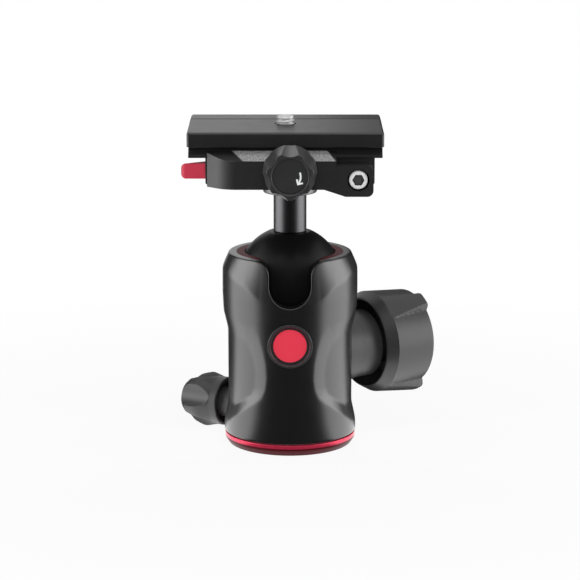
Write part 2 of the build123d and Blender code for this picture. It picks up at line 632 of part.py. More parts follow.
with BuildPart() as ball_cup:
    with BuildSketch(Plane.XZ):
        Polygon(
            (0, WEDGE_FACE_Z - WEDGE_R), (CUP_STEM_R, WEDGE_FACE_Z - WEDGE_R), (CUP_STEM_R, CUP_LOW),
            (CUP_R, CUP_LOW), (CUP_R, CUP_TOP), (0, CUP_TOP), align=None,
        )
    revolve(axis=Axis.Z)
    with Locations((0, 0, BALL_Z)):
        Sphere(CUP_SEAT_R, mode=Mode.SUBTRACT)
    # foot of the cup, cut to the same slope as the ramp
    foot = WEDGE_FACE_Z - MAIN_Z + RAMP_GAP
    reach = 2 * CUP_STEM_R
    with BuildSketch(MAIN_PROFILE):
        Polygon(
            (-reach, foot - reach * RAMP_SLOPE), (reach, foot + reach * RAMP_SLOPE), (reach, -2 * reach),
            (-reach, -2 * reach), align=None,
        )
    extrude(amount=reach, both=True, mode=Mode.SUBTRACT)
save(ball_cup, "ball_cup")

# ======== pan lock ===================================================================
with BuildPart() as pan_shoe:
    with BuildSketch(PAN_PROFILE):
        Polygon((SHOE_FACE, 0), (SHOE_FACE, SHOE_R), (SHOE_BACK, SHOE_R), (SHOE_BACK, 0), align=None)
    revolve(axis=PAN_AXIS)
save(pan_shoe, "pan_shoe")

with BuildPart() as pan_bush:
    with BuildSketch(PAN_PROFILE):
        Polygon(
            (SHOE_BACK, PAN_SCREW_R + RUN), (PAN_BUSH_OUTER, PAN_SCREW_R + RUN), (PAN_BUSH_OUTER, PAN_BUSH_R),
            (SHOE_BACK, PAN_BUSH_R), align=None,
        )
    revolve(axis=PAN_AXIS)
save(pan_bush, "pan_bush")

with BuildPart() as pan_collar:
    with BuildSketch(PAN_PROFILE):
        Polygon(
            (PAN_COLLAR_SEAT, PAN_BUSH_R), (PAN_BUSH_OUTER, PAN_BUSH_R),
            (PAN_BUSH_OUTER, PAN_SCREW_R + SCREW_GAP),
            (PAN_COLLAR_END, PAN_SCREW_R + SCREW_GAP), (PAN_COLLAR_END, PAN_COLLAR_R),
            (PAN_COLLAR_SEAT, PAN_COLLAR_R), align=None,
        )
    revolve(axis=PAN_AXIS)
save(pan_collar, "pan_collar")

with BuildPart() as pan_screw:
    with BuildSketch(PAN_PROFILE):
        Polygon(
            (SHOE_BACK, 0), (SHOE_BACK, PAN_SCREW_R), (PAN_KNOB_END - PAN_CAP_T, PAN_SCREW_R),
            (PAN_KNOB_END - PAN_CAP_T, 0), align=None,
        )
    revolve(axis=PAN_AXIS)
save(pan_screw, "pan_screw")

pan_valleys = valley_cutters(PAN_CROSS, PAN_VALLEY_START, PAN_KNOB_END, PAN_KNOB_BAND_R, PAN_VALLEY_R,
                             PAN_KNOB_BAND_R - PAN_KNOB_END_R + PAN_VALLEY_DEPTH, PAN_LOBES, 0)
with BuildPart() as pan_knob:
    with BuildSketch(PAN_PROFILE):
        Polygon(
            (PAN_KNOB_REAR, PAN_KNOB_HOLLOW_R), (PAN_KNOB_REAR, PAN_KNOB_BAND_R - PAN_KNOB_EDGE),
            (PAN_KNOB_REAR + PAN_KNOB_EDGE, PAN_KNOB_BAND_R), (PAN_KNOB_BAND_END, PAN_KNOB_BAND_R),
            (PAN_KNOB_WIDEST, PAN_KNOB_R),
            (PAN_KNOB_END - PAN_KNOB_ROUND, PAN_KNOB_END_R), (PAN_KNOB_END, PAN_KNOB_END_R - PAN_KNOB_ROUND),
            (PAN_KNOB_END, PAN_CAP_R),
            (PAN_KNOB_END - PAN_CAP_T, PAN_CAP_R), (PAN_KNOB_END - PAN_CAP_T, PAN_SCREW_R),
            (PAN_HUB_START, PAN_SCREW_R), (PAN_HUB_START, PAN_KNOB_HUB_R),
            (PAN_KNOB_FLOOR, PAN_KNOB_HUB_R), (PAN_KNOB_FLOOR, PAN_KNOB_HOLLOW_R), align=None,
        )
    revolve(axis=PAN_AXIS)
    for bar in pan_valleys:
        add(bar, mode=Mode.SUBTRACT)
save(pan_knob, "pan_knob")

with BuildPart() as pan_knob_cap:
    with BuildSketch(PAN_PROFILE):
        Polygon(
            (PAN_KNOB_END - PAN_CAP_T, 0), (PAN_KNOB_END - PAN_CAP_T, PAN_CAP_R), (PAN_KNOB_END, PAN_CAP_R),
            (PAN_KNOB_END, 0), align=None,
        )
    revolve(axis=PAN_AXIS)
save(pan_knob_cap, "pan_knob_cap")

# ======== ball =======================================================================
with BuildPart() as ball_liner:
    with Locations((0, 0, BALL_Z)):
        Sphere(LINER_OUT_R)
        Sphere(LINER_IN_R, mode=Mode.SUBTRACT)
    rim_r = LINER_OUT_R * math.tan(math.radians(LINER_HALF_ANGLE))
    with BuildSketch(Plane.XZ):
        Polygon((0, BALL_Z), (rim_r, BALL_Z - LINER_OUT_R), (0, BALL_Z - LINER_OUT_R - 1), align=None)
    revolve(axis=Axis.Z, mode=Mode.INTERSECT)
save(ball_liner, "ball_liner")

with BuildPart() as ball:
    with Locations((0, 0, BALL_Z)):
        Sphere(BALL_R)
    split(bisect_by=Plane.XY.offset(NECK_Z), keep=Keep.BOTTOM)
    with BuildSketch(Plane.XY.offset(NECK_Z)):
        Circle(STEM_SPIGOT_R + RUN)
    extrude(amount=-(STEM_SPIGOT_L + GAP), mode=Mode.SUBTRACT)
save(ball, "ball")

with BuildPart() as stem:
    with BuildSketch(Plane.XZ):
        Polygon(
            (0, NECK_Z - STEM_SPIGOT_L), (STEM_SPIGOT_R, NECK_Z - STEM_SPIGOT_L), (STEM_SPIGOT_R, NECK_Z),
            (STEM_R, NECK_Z), (STEM_R, STEM_TOP), (0, STEM_TOP), align=None,
        )
    revolve(axis=Axis.Z)
    with BuildSketch(Plane.XY.offset(STEM_TOP)):
        Circle(CLAMP_SCREW_R)
    extrude(amount=-(CLAMP_SCREW_L - (CLAMP_FLOOR - CLAMP_LOW)), mode=Mode.SUBTRACT)
save(stem, "stem")

with BuildPart() as stem_boss:
    with BuildSketch(Plane.XY.offset(BOSS_LOW)):
        Circle(BOSS_R)
        Circle(STEM_R, mode=Mode.SUBTRACT)
    extrude(amount=BOSS_T)
    chamfer(stem_boss.faces().sort_by(Axis.Z)[0].outer_wire().edges(), BOSS_EDGE)
    with BuildSketch(Plane.XY.offset(CLAMP_LOW)):
        with Locations((DOWEL_X, 0)):
            Circle(DOWEL_R)
    extrude(amount=-(DOWEL_L / 2), mode=Mode.SUBTRACT)
save(stem_boss, "stem_boss")

# ======== clamp ======================================================================
# the front jaw: lip along the plate, ear on the right for the guide screw
with BuildPart() as front_jaw:
    with BuildSketch(Plane.YZ.offset(-JAW_END_X)):
        Polygon(
            (JAW_FRONT_Y, CLAMP_LOW), (JAW_FRONT_Y, JAW_FRONT_TOP),
            (-FLANGE_HALF - FLANGE_FIT + JAW_LIP_TOP - CLAMP_FLOOR - FLANGE_EDGE, JAW_LIP_TOP),
            (-FLANGE_HALF - FLANGE_FIT, CLAMP_FLOOR + FLANGE_EDGE), (-FLANGE_HALF - FLANGE_FIT, JAW_FRONT_TOP),
            (JAW_SPLIT_Y - GAP, JAW_FRONT_TOP), (JAW_SPLIT_Y - GAP, CLAMP_LOW), align=None,
        )
    extrude(amount=JAW_END_X + JAW_LIP_END_X)
    with BuildSketch(Plane.XZ.offset(-(JAW_SPLIT_Y - GAP))) as ear:
        Polygon(
            (EAR_SLOPE[0], CLAMP_LOW), (EAR_SLOPE[1], EAR_LOW), (JAW_END_X, EAR_LOW), (JAW_END_X, EAR_TOP),
            (EAR_SLOPE[0], EAR_TOP), align=None,
        )
        fillet(ear.vertices().filter_by_position(Axis.X, JAW_END_X, JAW_END_X), CLAMP_CORNER)
    extrude(amount=JAW_SPLIT_Y - GAP - JAW_FRONT_Y)
    with BuildSketch(Plane.XY.offset(EAR_LOW)):
        Polygon(
            (-JAW_END_X, JAW_FRONT_Y), (-JAW_END_X + JAW_CORNER, JAW_FRONT_Y),
            (-JAW_END_X, JAW_FRONT_Y + JAW_CORNER), align=None,
        )
    extrude(amount=JAW_LIP_TOP - EAR_LOW, mode=Mode.SUBTRACT)
    with Locations(LOCK_FRONT):
        Hole(STUD_R + SCREW_GAP)
    with Locations(GUIDE_FRONT):
        CounterBoreHole(GUIDE_R + RUN, GUIDE_COUNTERBORE_R, GUIDE_SINK + GUIDE_HEAD_T + JAW_TRAVEL + RUN)
    with BuildSketch(Plane.XZ.offset(-JAW_SPLIT_Y)):
        with Locations((GUIDE_PIN_X, GUIDE_PIN_Z)):
            Circle(GUIDE_PIN_R + RUN)
    extrude(amount=JAW_SPLIT_Y - GUIDE_PIN_OUTER_Y + GAP, mode=Mode.SUBTRACT)
save(front_jaw, "front_jaw")

with BuildPart() as clamp_base:
    with BuildSketch(Plane.YZ.offset(-CLAMP_HALF_X)):
        Polygon(
            (JAW_SPLIT_Y, CLAMP_LOW), (JAW_SPLIT_Y, CLAMP_FLOOR), (FLANGE_HALF + FLANGE_FIT, CLAMP_FLOOR),
            (FLANGE_HALF + FLANGE_FIT, CLAMP_FLOOR + FLANGE_EDGE),
            (FLANGE_HALF + FLANGE_FIT - (JAW_LIP_TOP - CLAMP_FLOOR - FLANGE_EDGE), JAW_LIP_TOP),
            (CLAMP_REAR_Y, JAW_LIP_TOP), (CLAMP_REAR_Y, CLAMP_LOW), align=None,
        )
    extrude(amount=2 * CLAMP_HALF_X)
    fillet(clamp_base.edges().filter_by(Axis.Z).filter_by_position(Axis.Y, CLAMP_REAR_Y, CLAMP_REAR_Y),
           CLAMP_CORNER)
    chamfer(clamp_base.edges().filter_by(Axis.X).filter_by_position(Axis.Y, CLAMP_REAR_Y, CLAMP_REAR_Y),
            CLAMP_EDGE)
    with Locations(Plane.XY.offset(CLAMP_FLOOR)):
        CounterSinkHole(CLAMP_SCREW_R + SCREW_GAP, CLAMP_SCREW_HEAD_R + SCREW_GAP, counter_sink_angle=90)
    with Locations((DOWEL_X, 0, CLAMP_LOW)):
        Cylinder(DOWEL_R, DOWEL_L, mode=Mode.SUBTRACT)
    # seats of the stud, the guide screw and the two springs
    with BuildSketch(Plane.XZ.offset(-JAW_SPLIT_Y)):
        with Locations((0, STUD_Z)):
            Circle(STUD_R)
    extrude(amount=JAW_SPLIT_Y - STUD_INNER_Y, mode=Mode.SUBTRACT)
    with BuildSketch(Plane.XZ.offset(-JAW_SPLIT_Y)):
        with Locations((GUIDE_X, GUIDE_Z)):
            Circle(GUIDE_R)
    extrude(amount=JAW_SPLIT_Y - GUIDE_END, mode=Mode.SUBTRACT)
    with BuildSketch(Plane.XZ.offset(-JAW_SPLIT_Y)):
        with Locations((GUIDE_PIN_X, GUIDE_PIN_Z)):
            Circle(GUIDE_PIN_R)
    extrude(amount=JAW_SPLIT_Y - GUIDE_PIN_INNER_Y, mode=Mode.SUBTRACT)
    with BuildSketch(Plane.XZ.offset(-JAW_SPLIT_Y)):
        with Locations((-JAW_SPRING_X, JAW_SPRING_Z), (JAW_SPRING_X, JAW_SPRING_Z)):
            Circle(JAW_SPRING_R + SCREW_GAP)
    extrude(amount=-JAW_SPRING_POCKET, mode=Mode.SUBTRACT)
    # pocket of the safety button and bore of its catch
    with Locations((-CLAMP_HALF_X, BUTTON_Y, BUTTON_LOW - RUN)):
        Box(CLAMP_HALF_X + BUTTON_ROOM, BUTTON_W + 2 * RUN, BUTTON_H + 2 * RUN,
            align=(Align.MIN, Align.CENTER, Align.MIN), mode=Mode.SUBTRACT)
    with Locations((CATCH_X, BUTTON_Y, CLAMP_FLOOR)):
        Cylinder(CATCH_R + RUN, CLAMP_FLOOR - BUTTON_LOW, align=(Align.CENTER, Align.CENTER, Align.MAX),
                 mode=Mode.SUBTRACT)
save(clamp_base, "clamp_base")

with BuildPart() as clamp_screw:
    with Locations((0, 0, CLAMP_FLOOR)):
        Cylinder(CLAMP_SCREW_R, CLAMP_SCREW_L, align=(Align.CENTER, Align.CENTER, Align.MAX))
        Cone(CLAMP_SCREW_R, CLAMP_SCREW_HEAD_R, CLAMP_SCREW_HEAD_R - CLAMP_SCREW_R,
             align=(Align.CENTER, Align.CENTER, Align.MAX))
    with BuildSketch(Plane.XY.offset(CLAMP_FLOOR)):
        RegularPolygon(CLAMP_SOCKET_R, 6)
    extrude(amount=-CLAMP_SOCKET_DEPTH, mode=Mode.SUBTRACT)
save(clamp_screw, "clamp_screw")

with BuildPart() as clamp_dowel:
    with Locations((DOWEL_X, 0, CLAMP_LOW)):
        Cylinder(DOWEL_R, DOWEL_L)
save(clamp_dowel, "clamp_dowel")

with BuildPart() as clamp_stud:
    with BuildSketch(Plane.XZ.offset(-STUD_INNER_Y)):
        with Locations((0, STUD_Z)):
            Circle(STUD_R)
    extrude(amount=STUD_INNER_Y - STUD_OUTER_Y)
save(clamp_stud, "clamp_stud")

with BuildPart() as guide_screw:
    with BuildSketch(Plane.XZ.offset(-GUIDE_END)):
        with Locations((GUIDE_X, GUIDE_Z)):
            Circle(GUIDE_R)
    extrude(amount=GUIDE_L)
    with BuildSketch(Plane.XZ.offset(-GUIDE_HEAD_BACK)):
        with Locations((GUIDE_X, GUIDE_Z)):
            Circle(GUIDE_HEAD_R)
    extrude(amount=GUIDE_HEAD_T)
    chamfer(guide_screw.faces().sort_by(Axis.Y)[0].edges(), GUIDE_HEAD_EDGE)
    with BuildSketch(Plane.XZ.offset(-GUIDE_HEAD_BACK)):
        with Locations((GUIDE_X, GUIDE_Z)):
            RegularPolygon(GUIDE_HEX / 2, 6)
    extrude(amount=GUIDE_HEAD_T, mode=Mode.SUBTRACT)
save(guide_screw, "guide_screw")

with BuildPart() as guide_pin:
    with BuildSketch(Plane.XZ.offset(-GUIDE_PIN_INNER_Y)):
        with Locations((GUIDE_PIN_X, GUIDE_PIN_Z)):
            Circle(GUIDE_PIN_R)
    extrude(amount=GUIDE_PIN_INNER_Y - GUIDE_PIN_OUTER_Y)
save(guide_pin, "guide_pin")

with BuildPart() as jaw_springs:
    with BuildSketch(Plane.XZ.offset(-(JAW_SPLIT_Y + JAW_SPRING_POCKET))):
        with Locations((-JAW_SPRING_X, JAW_SPRING_Z), (JAW_SPRING_X, JAW_SPRING_Z)):
            Circle(JAW_SPRING_R)
            Circle(JAW_SPRING_R - JAW_SPRING_WIRE, mode=Mode.SUBTRACT)
    extrude(amount=JAW_SPRING_POCKET + GAP)
save(jaw_springs, "jaw_springs")

with BuildPart() as knob_washer:
    with BuildSketch(LOCK_FRONT):
        Circle(KNOB_WASHER_R)
        Circle(STUD_R + SCREW_GAP, mode=Mode.SUBTRACT)
    extrude(amount=KNOB_WASHER_T)
save(knob_washer, "knob_washer")

lock_valleys = valley_cutters(LOCK_FRONT, KNOB_WASHER_T + LOCK_KNOB_NECK_L, KNOB_WASHER_T + LOCK_KNOB_L,
                              LOCK_KNOB_R, LOCK_VALLEY_R,
                              LOCK_KNOB_R - LOCK_KNOB_END_R + LOCK_VALLEY_DEPTH, LOCK_LOBES, 90)
with BuildPart() as clamp_knob:
    with BuildSketch(LOCK_FRONT.offset(KNOB_WASHER_T)):
        Circle(LOCK_KNOB_NECK_R)
    extrude(amount=LOCK_KNOB_NECK_L)
    with BuildSketch(Plane.YZ):
        Polygon(
            (LOCK_REAR_Y, STUD_Z), (LOCK_REAR_Y, STUD_Z + LOCK_KNOB_R - LOCK_KNOB_EDGE),
            (LOCK_REAR_Y - LOCK_KNOB_EDGE, STUD_Z + LOCK_KNOB_R),
            (LOCK_END_Y + LOCK_KNOB_EDGE, STUD_Z + LOCK_KNOB_END_R),
            (LOCK_END_Y, STUD_Z + LOCK_KNOB_END_R - LOCK_KNOB_EDGE), (LOCK_END_Y, STUD_Z), align=None,
        )
    revolve(axis=Axis((0, 0, STUD_Z), (0, 1, 0)))
    for bar in lock_valleys:
        add(bar, mode=Mode.SUBTRACT)
    with BuildSketch(LOCK_FRONT.offset(KNOB_WASHER_T + LOCK_KNOB_L)):
        Circle(LOCK_CAP_R)
    extrude(amount=-LOCK_CAP_RECESS, mode=Mode.SUBTRACT)
    with BuildSketch(LOCK_FRONT.offset(KNOB_WASHER_T)):
        Circle(STUD_R + RUN)
    extrude(amount=LOCK_KNOB_L - LOCK_CAP_RECESS - LOCK_KNOB_SKIN, mode=Mode.SUBTRACT)
save(clamp_knob, "clamp_knob")

with BuildPart() as clamp_knob_cap:
    with BuildSketch(LOCK_FRONT.offset(KNOB_WASHER_T + LOCK_KNOB_L - LOCK_CAP_RECESS)):
        Circle(LOCK_CAP_R)
    extrude(amount=LOCK_CAP_T)
save(clamp_knob_cap, "clamp_knob_cap")

# ======== safety catch ===============================================================
with BuildPart() as safety_button:
    with Locations((BUTTON_TIP_X, BUTTON_Y, BUTTON_LOW)):
        Box(BUTTON_INNER_X - BUTTON_TIP_X, BUTTON_W, BUTTON_H, align=(Align.MIN, Align.CENTER, Align.MIN))
    fillet(safety_button.faces().sort_by(Axis.X)[0].edges(), BUTTON_ROUND)
    # slot with the ramp under the catch
    with BuildSketch(Plane.XZ.offset(-BUTTON_Y)):
        ramp_top = CATCH_FOOT_Z + (BUTTON_INNER_X - CATCH_X) * CATCH_SLOPE
        Polygon(
            (BUTTON_INNER_X, ramp_top), (BUTTON_RAMP_X, CATCH_FOOT_Z + (BUTTON_RAMP_X - CATCH_X) * CATCH_SLOPE),
            (BUTTON_RAMP_X, CLAMP_FLOOR), (BUTTON_INNER_X, CLAMP_FLOOR), align=None,
        )
    extrude(amount=CATCH_R + GAP, both=True, mode=Mode.SUBTRACT)
    with BuildSketch(Plane.YZ.offset(BUTTON_INNER_X)):
        with Locations((BUTTON_BORE_Y, BUTTON_BORE_Z)):
            Circle(BUTTON_BORE_R)
    extrude(amount=-BUTTON_BORE_L, mode=Mode.SUBTRACT)
save(safety_button, "safety_button")

with BuildPart() as button_spring:
    with BuildSketch(Plane.YZ.offset(BUTTON_ROOM)):
        with Locations((BUTTON_BORE_Y, BUTTON_BORE_Z)):
            Circle(BUTTON_BORE_R - RUN)
            Circle(BUTTON_BORE_R - RUN - BUTTON_SPRING_WIRE, mode=Mode.SUBTRACT)
    extrude(amount=-(BUTTON_ROOM - BUTTON_INNER_X + BUTTON_BORE_L))
save(button_spring, "button_spring")

with BuildPart() as safety_catch:
    with Locations((CATCH_X, BUTTON_Y, CATCH_TOP)):
        Cylinder(CATCH_R, CATCH_TOP - BUTTON_LOW, align=(Align.CENTER, Align.CENTER, Align.MAX))
    # foot, cut to the slope of the button's ramp
    with BuildSketch(Plane.XZ.offset(-BUTTON_Y)):
        catch_foot = CATCH_FOOT_Z + RAMP_GAP
        side = 2 * CATCH_R
        Polygon(
            (CATCH_X - side, catch_foot - side * CATCH_SLOPE),
            (CATCH_X + side, catch_foot + side * CATCH_SLOPE),
            (CATCH_X + side, BUTTON_LOW - 1), (CATCH_X - side, BUTTON_LOW - 1), align=None,
        )
    extrude(amount=side, both=True, mode=Mode.SUBTRACT)
    fillet(safety_catch.faces().sort_by(Axis.Z)[-1].edges(), CATCH_ROUND)
save(safety_catch, "safety_catch")

# ======== plate ======================================================================
with BuildPart() as plate:
    with BuildSketch(Plane.YZ.offset(PLATE_X - PLATE_L / 2 + FLANGE_INSET)):
        neck_low = CLAMP_FLOOR + FLANGE_EDGE + FLANGE_HALF - NECK_HALF
        Polygon(
            (-FLANGE_HALF, CLAMP_FLOOR), (FLANGE_HALF, CLAMP_FLOOR), (FLANGE_HALF, CLAMP_FLOOR + FLANGE_EDGE),
            (NECK_HALF, neck_low), (NECK_HALF, SLAB_LOW), (-NECK_HALF, SLAB_LOW), (-NECK_HALF, neck_low),
            (-FLANGE_HALF, CLAMP_FLOOR + FLANGE_EDGE), align=None,
        )
    extrude(amount=PLATE_L - 2 * FLANGE_INSET)
    with BuildSketch(Plane.XY.offset(SLAB_LOW)) as slab:
        with Locations((PLATE_X, 0)):
            Rectangle(PLATE_L, PLATE_W)
        fillet(slab.vertices(), PLATE_CORNER)
    extrude(amount=PLATE_TOP - SLAB_LOW)
    chamfer(plate.faces().sort_by(Axis.Z)[-1].outer_wire().edges(), PLATE_EDGE)
    with BuildSketch(Plane.XY.offset(PLATE_TOP)):
        with Locations((PLATE_X, PLATE_LINE_Y)):
            Rectangle(PLATE_L, PLATE_LINE_W)
    extrude(amount=-PLATE_LINE_DEPTH, mode=Mode.SUBTRACT)
    # slot for the safety catch, with a stop screw at each end
    with BuildSketch(Plane.XY.offset(CLAMP_FLOOR)):
        with Locations(((SLOT_X[0] + SLOT_X[1]) / 2, BUTTON_Y)):
            SlotOverall(SLOT_X[1] - SLOT_X[0], SLOT_W)
    extrude(amount=SLOT_DEPTH, mode=Mode.SUBTRACT)
    with BuildSketch(Plane.XY.offset(CLAMP_FLOOR)):
        with Locations(*STOP_PLACES):
            Circle(STOP_R)
    extrude(amount=STOP_L, mode=Mode.SUBTRACT)
    # pocket and hole of the camera screw
    with BuildSketch(Plane.XY.offset(CLAMP_FLOOR)):
        with Locations((PLATE_X, 0)):
            Circle(CAMERA_POCKET_R)
    extrude(amount=CAMERA_POCKET_H, mode=Mode.SUBTRACT)
    with BuildSketch(Plane.XY.offset(CLAMP_FLOOR)):
        with Locations((PLATE_X, 0)):
            Circle(CAMERA_R + GAP)
    extrude(amount=PLATE_TOP - CLAMP_FLOOR, mode=Mode.SUBTRACT)
save(plate, "plate")

with BuildPart() as stop_screws:
    with BuildSketch(Plane.XY.offset(CLAMP_FLOOR)):
        with Locations(*STOP_PLACES):
            Circle(STOP_R)
    extrude(amount=STOP_L)
save(stop_screws, "stop_screws")

with BuildPart() as screw_retainer:
    with BuildSketch(Plane.XY.offset(CLAMP_FLOOR)):
        with Locations((PLATE_X, 0)):
            Circle(CAMERA_POCKET_R)
            Circle(RETAINER_RING_R, mode=Mode.SUBTRACT)
    extrude(amount=RETAINER_RING_T)
save(screw_retainer, "screw_retainer")

with BuildPart() as camera_screw:
    camera_low = CLAMP_FLOOR + RETAINER_RING_T
    with BuildSketch(Plane.XY.offset(camera_low)):
        with Locations((PLATE_X, 0)):
            Circle(CAMERA_HEAD_R)
    extrude(amount=CAMERA_HEAD_T)
    with BuildSketch(Plane.XY.offset(camera_low)):
        with Locations((PLATE_X, 0)):
            Circle(CAMERA_SHANK_R)
    extrude(amount=PLATE_TOP - camera_low)
    with BuildSketch(Plane.XY.offset(PLATE_TOP)):
        with Locations((PLATE_X, 0)):
            Circle(CAMERA_R)
    extrude(amount=CAMERA_PROUD)
    chamfer(camera_screw.faces().sort_by(Axis.Z)[-1].edges(), CAMERA_EDGE)
    with BuildSketch(Plane.XY.offset(camera_low)):
        with Locations((PLATE_X, 0)):
            Rectangle(2 * CAMERA_HEAD_R, CAMERA_SLOT_W)
    extrude(amount=CAMERA_HEAD_T / 2, mode=Mode.SUBTRACT)
save(camera_screw, "camera_screw")
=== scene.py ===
"""Tripod ball head: finishes and finished forms on the CAD frame, with its studio."""

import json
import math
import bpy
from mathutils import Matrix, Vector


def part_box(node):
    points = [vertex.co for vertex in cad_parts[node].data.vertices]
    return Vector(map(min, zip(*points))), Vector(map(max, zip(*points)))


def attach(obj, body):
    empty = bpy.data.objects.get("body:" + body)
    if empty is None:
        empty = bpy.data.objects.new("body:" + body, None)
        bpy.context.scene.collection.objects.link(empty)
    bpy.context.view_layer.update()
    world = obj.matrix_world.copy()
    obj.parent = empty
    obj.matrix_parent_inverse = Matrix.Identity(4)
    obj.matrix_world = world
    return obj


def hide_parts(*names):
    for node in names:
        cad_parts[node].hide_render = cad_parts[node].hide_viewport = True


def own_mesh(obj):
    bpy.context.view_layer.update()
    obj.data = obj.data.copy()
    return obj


bl_info = {
    "name": "Tripod ball head",
    "version": (1, 0, 0),
    "blender": (4, 5, 0),
    "location": "View3D > Sidebar > Ball head",
    "description": "Finished forms and surfaces of a tripod ball head on its CAD frame",
    "category": "Object",
}

import bmesh
import bpy
from mathutils import Matrix, Vector

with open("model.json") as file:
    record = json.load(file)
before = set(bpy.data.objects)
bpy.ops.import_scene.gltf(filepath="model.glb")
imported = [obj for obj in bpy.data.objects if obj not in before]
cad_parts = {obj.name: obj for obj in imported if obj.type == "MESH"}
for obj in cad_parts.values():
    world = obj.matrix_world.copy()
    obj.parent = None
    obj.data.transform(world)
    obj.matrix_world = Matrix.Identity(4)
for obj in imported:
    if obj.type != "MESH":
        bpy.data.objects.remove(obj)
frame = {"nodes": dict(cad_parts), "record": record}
NODES = frame["nodes"]
BODY_OF = {node: body for body, members in frame["record"]["behaviour"]["bodies"].items() for node in members}
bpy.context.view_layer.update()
MM = 0.001
TOUCHING = 1e-7  # metres within which two corners are one

# ---- sizes shared by the pieces, in millimetres --------------------------------------
BODY_FOOT_Z = 4.3
RIM_Z = 65.5
RIM_R = 20.5
CUP_BORE_R = 17.8
BALL_R = 17.5
BALL_Z = 56.3
NECK_R = 6.9
NOTCH_HALF = 6.9
NOTCH_Z = 57.4
BADGE_Z = 37.8
BADGE_SEAT = 20.6  # floor of the badge's recess, from the pan axis
CLAMP_KNOB_Y, CLAMP_KNOB_Z = -25.3, 97.0
GUIDE_X, GUIDE_Z = 22.1, 93.7
PLATE_TOP = 108.6
PLATE_LINE_Y = 10.0
CAMERA_X = -1.5
MAIN_TURN = math.radians(33)
PAN_TURN = math.radians(30)
FINISHES = {}


def axis_of(origin, out, side):
    """Frame of a turned piece: where it starts, the way it points and its side at angle 0."""
    out, side = Vector(out).normalized(), Vector(side).normalized()
    return Vector(origin), out, side, out.cross(side)


UPRIGHT = axis_of((0, 0, 0), (0, 0, 1), (1, 0, 0))
MAIN_AXIS = axis_of((0, 0, 30), (math.cos(MAIN_TURN), math.sin(MAIN_TURN), 0), (0, 0, 1))
PAN_AXIS = axis_of((0, 0, 10), (-math.cos(PAN_TURN), math.sin(PAN_TURN), 0), (0, 0, 1))
CLAMP_KNOB_AXIS = axis_of((0, CLAMP_KNOB_Y, CLAMP_KNOB_Z), (0, -1, 0), (0, 0, 1))
BADGE_AXIS = axis_of((0, 0, BADGE_Z), (0, -1, 0), (0, 0, 1))
CAMERA_AXIS = axis_of((CAMERA_X, 0, 0), (0, 0, 1), (1, 0, 0))


# ======== wiring ======================================================================
def plug(tree, slot, value):
    """Give a socket a number, a colour or another socket."""
    source = getattr(value, "socket", value)
    if isinstance(source, bpy.types.NodeSocket):
        tree.links.new(source, slot)
    else:
        slot.default_value = source


def tree_node(tree, kind, settings=None, values=None):
    """Any node: its settings first, then the values or links of its sockets."""
    node = tree.nodes.new(kind)
    for key, value in (settings or {}).items():
        setattr(node, key, value)
    for key, value in (values or {}).items():
        plug(tree, node.inputs[key], value)
    return node


class Wire:
    """A number in a node tree; arithmetic on it adds Math nodes."""

    def __init__(self, tree, socket):
        self.tree = tree
        self.socket = socket

    def maths(self, operation, *others, last=False, clamp=False):
        """One Math node on this number and others; last puts this number after them."""
        node = tree_node(self.tree, "ShaderNodeMath", {"operation": operation, "use_clamp": clamp})
        for slot, value in zip(node.inputs, (*others, self) if last else (self, *others)):
            plug(self.tree, slot, value)
        return Wire(self.tree, node.outputs[0])

    def __add__(self, other):
        return self.maths("ADD", other)

    __radd__ = __add__

    def __sub__(self, other):
        return self.maths("SUBTRACT", other)

    def __rsub__(self, other):
        return self.maths("SUBTRACT", other, last=True)

    def __mul__(self, other):
        return self.maths("MULTIPLY", other)

    __rmul__ = __mul__

    def __truediv__(self, other):
        return self.maths("DIVIDE", other)

    def __rtruediv__(self, other):
        return self.maths("DIVIDE", other, last=True)

    def __pow__(self, other):
        return self.maths("POWER", other)

    def least(self, other, softness=0.0):
        if softness:
            return self.maths("SMOOTH_MIN", other, softness)
        return self.maths("MINIMUM", other)

    def most(self, other):
        return self.maths("MAXIMUM", other)

    def ramp(self, low, high):
        """0 at low, 1 at high, held beyond."""
        return (self - low).maths("MULTIPLY", 1.0 / (high - low), clamp=True)


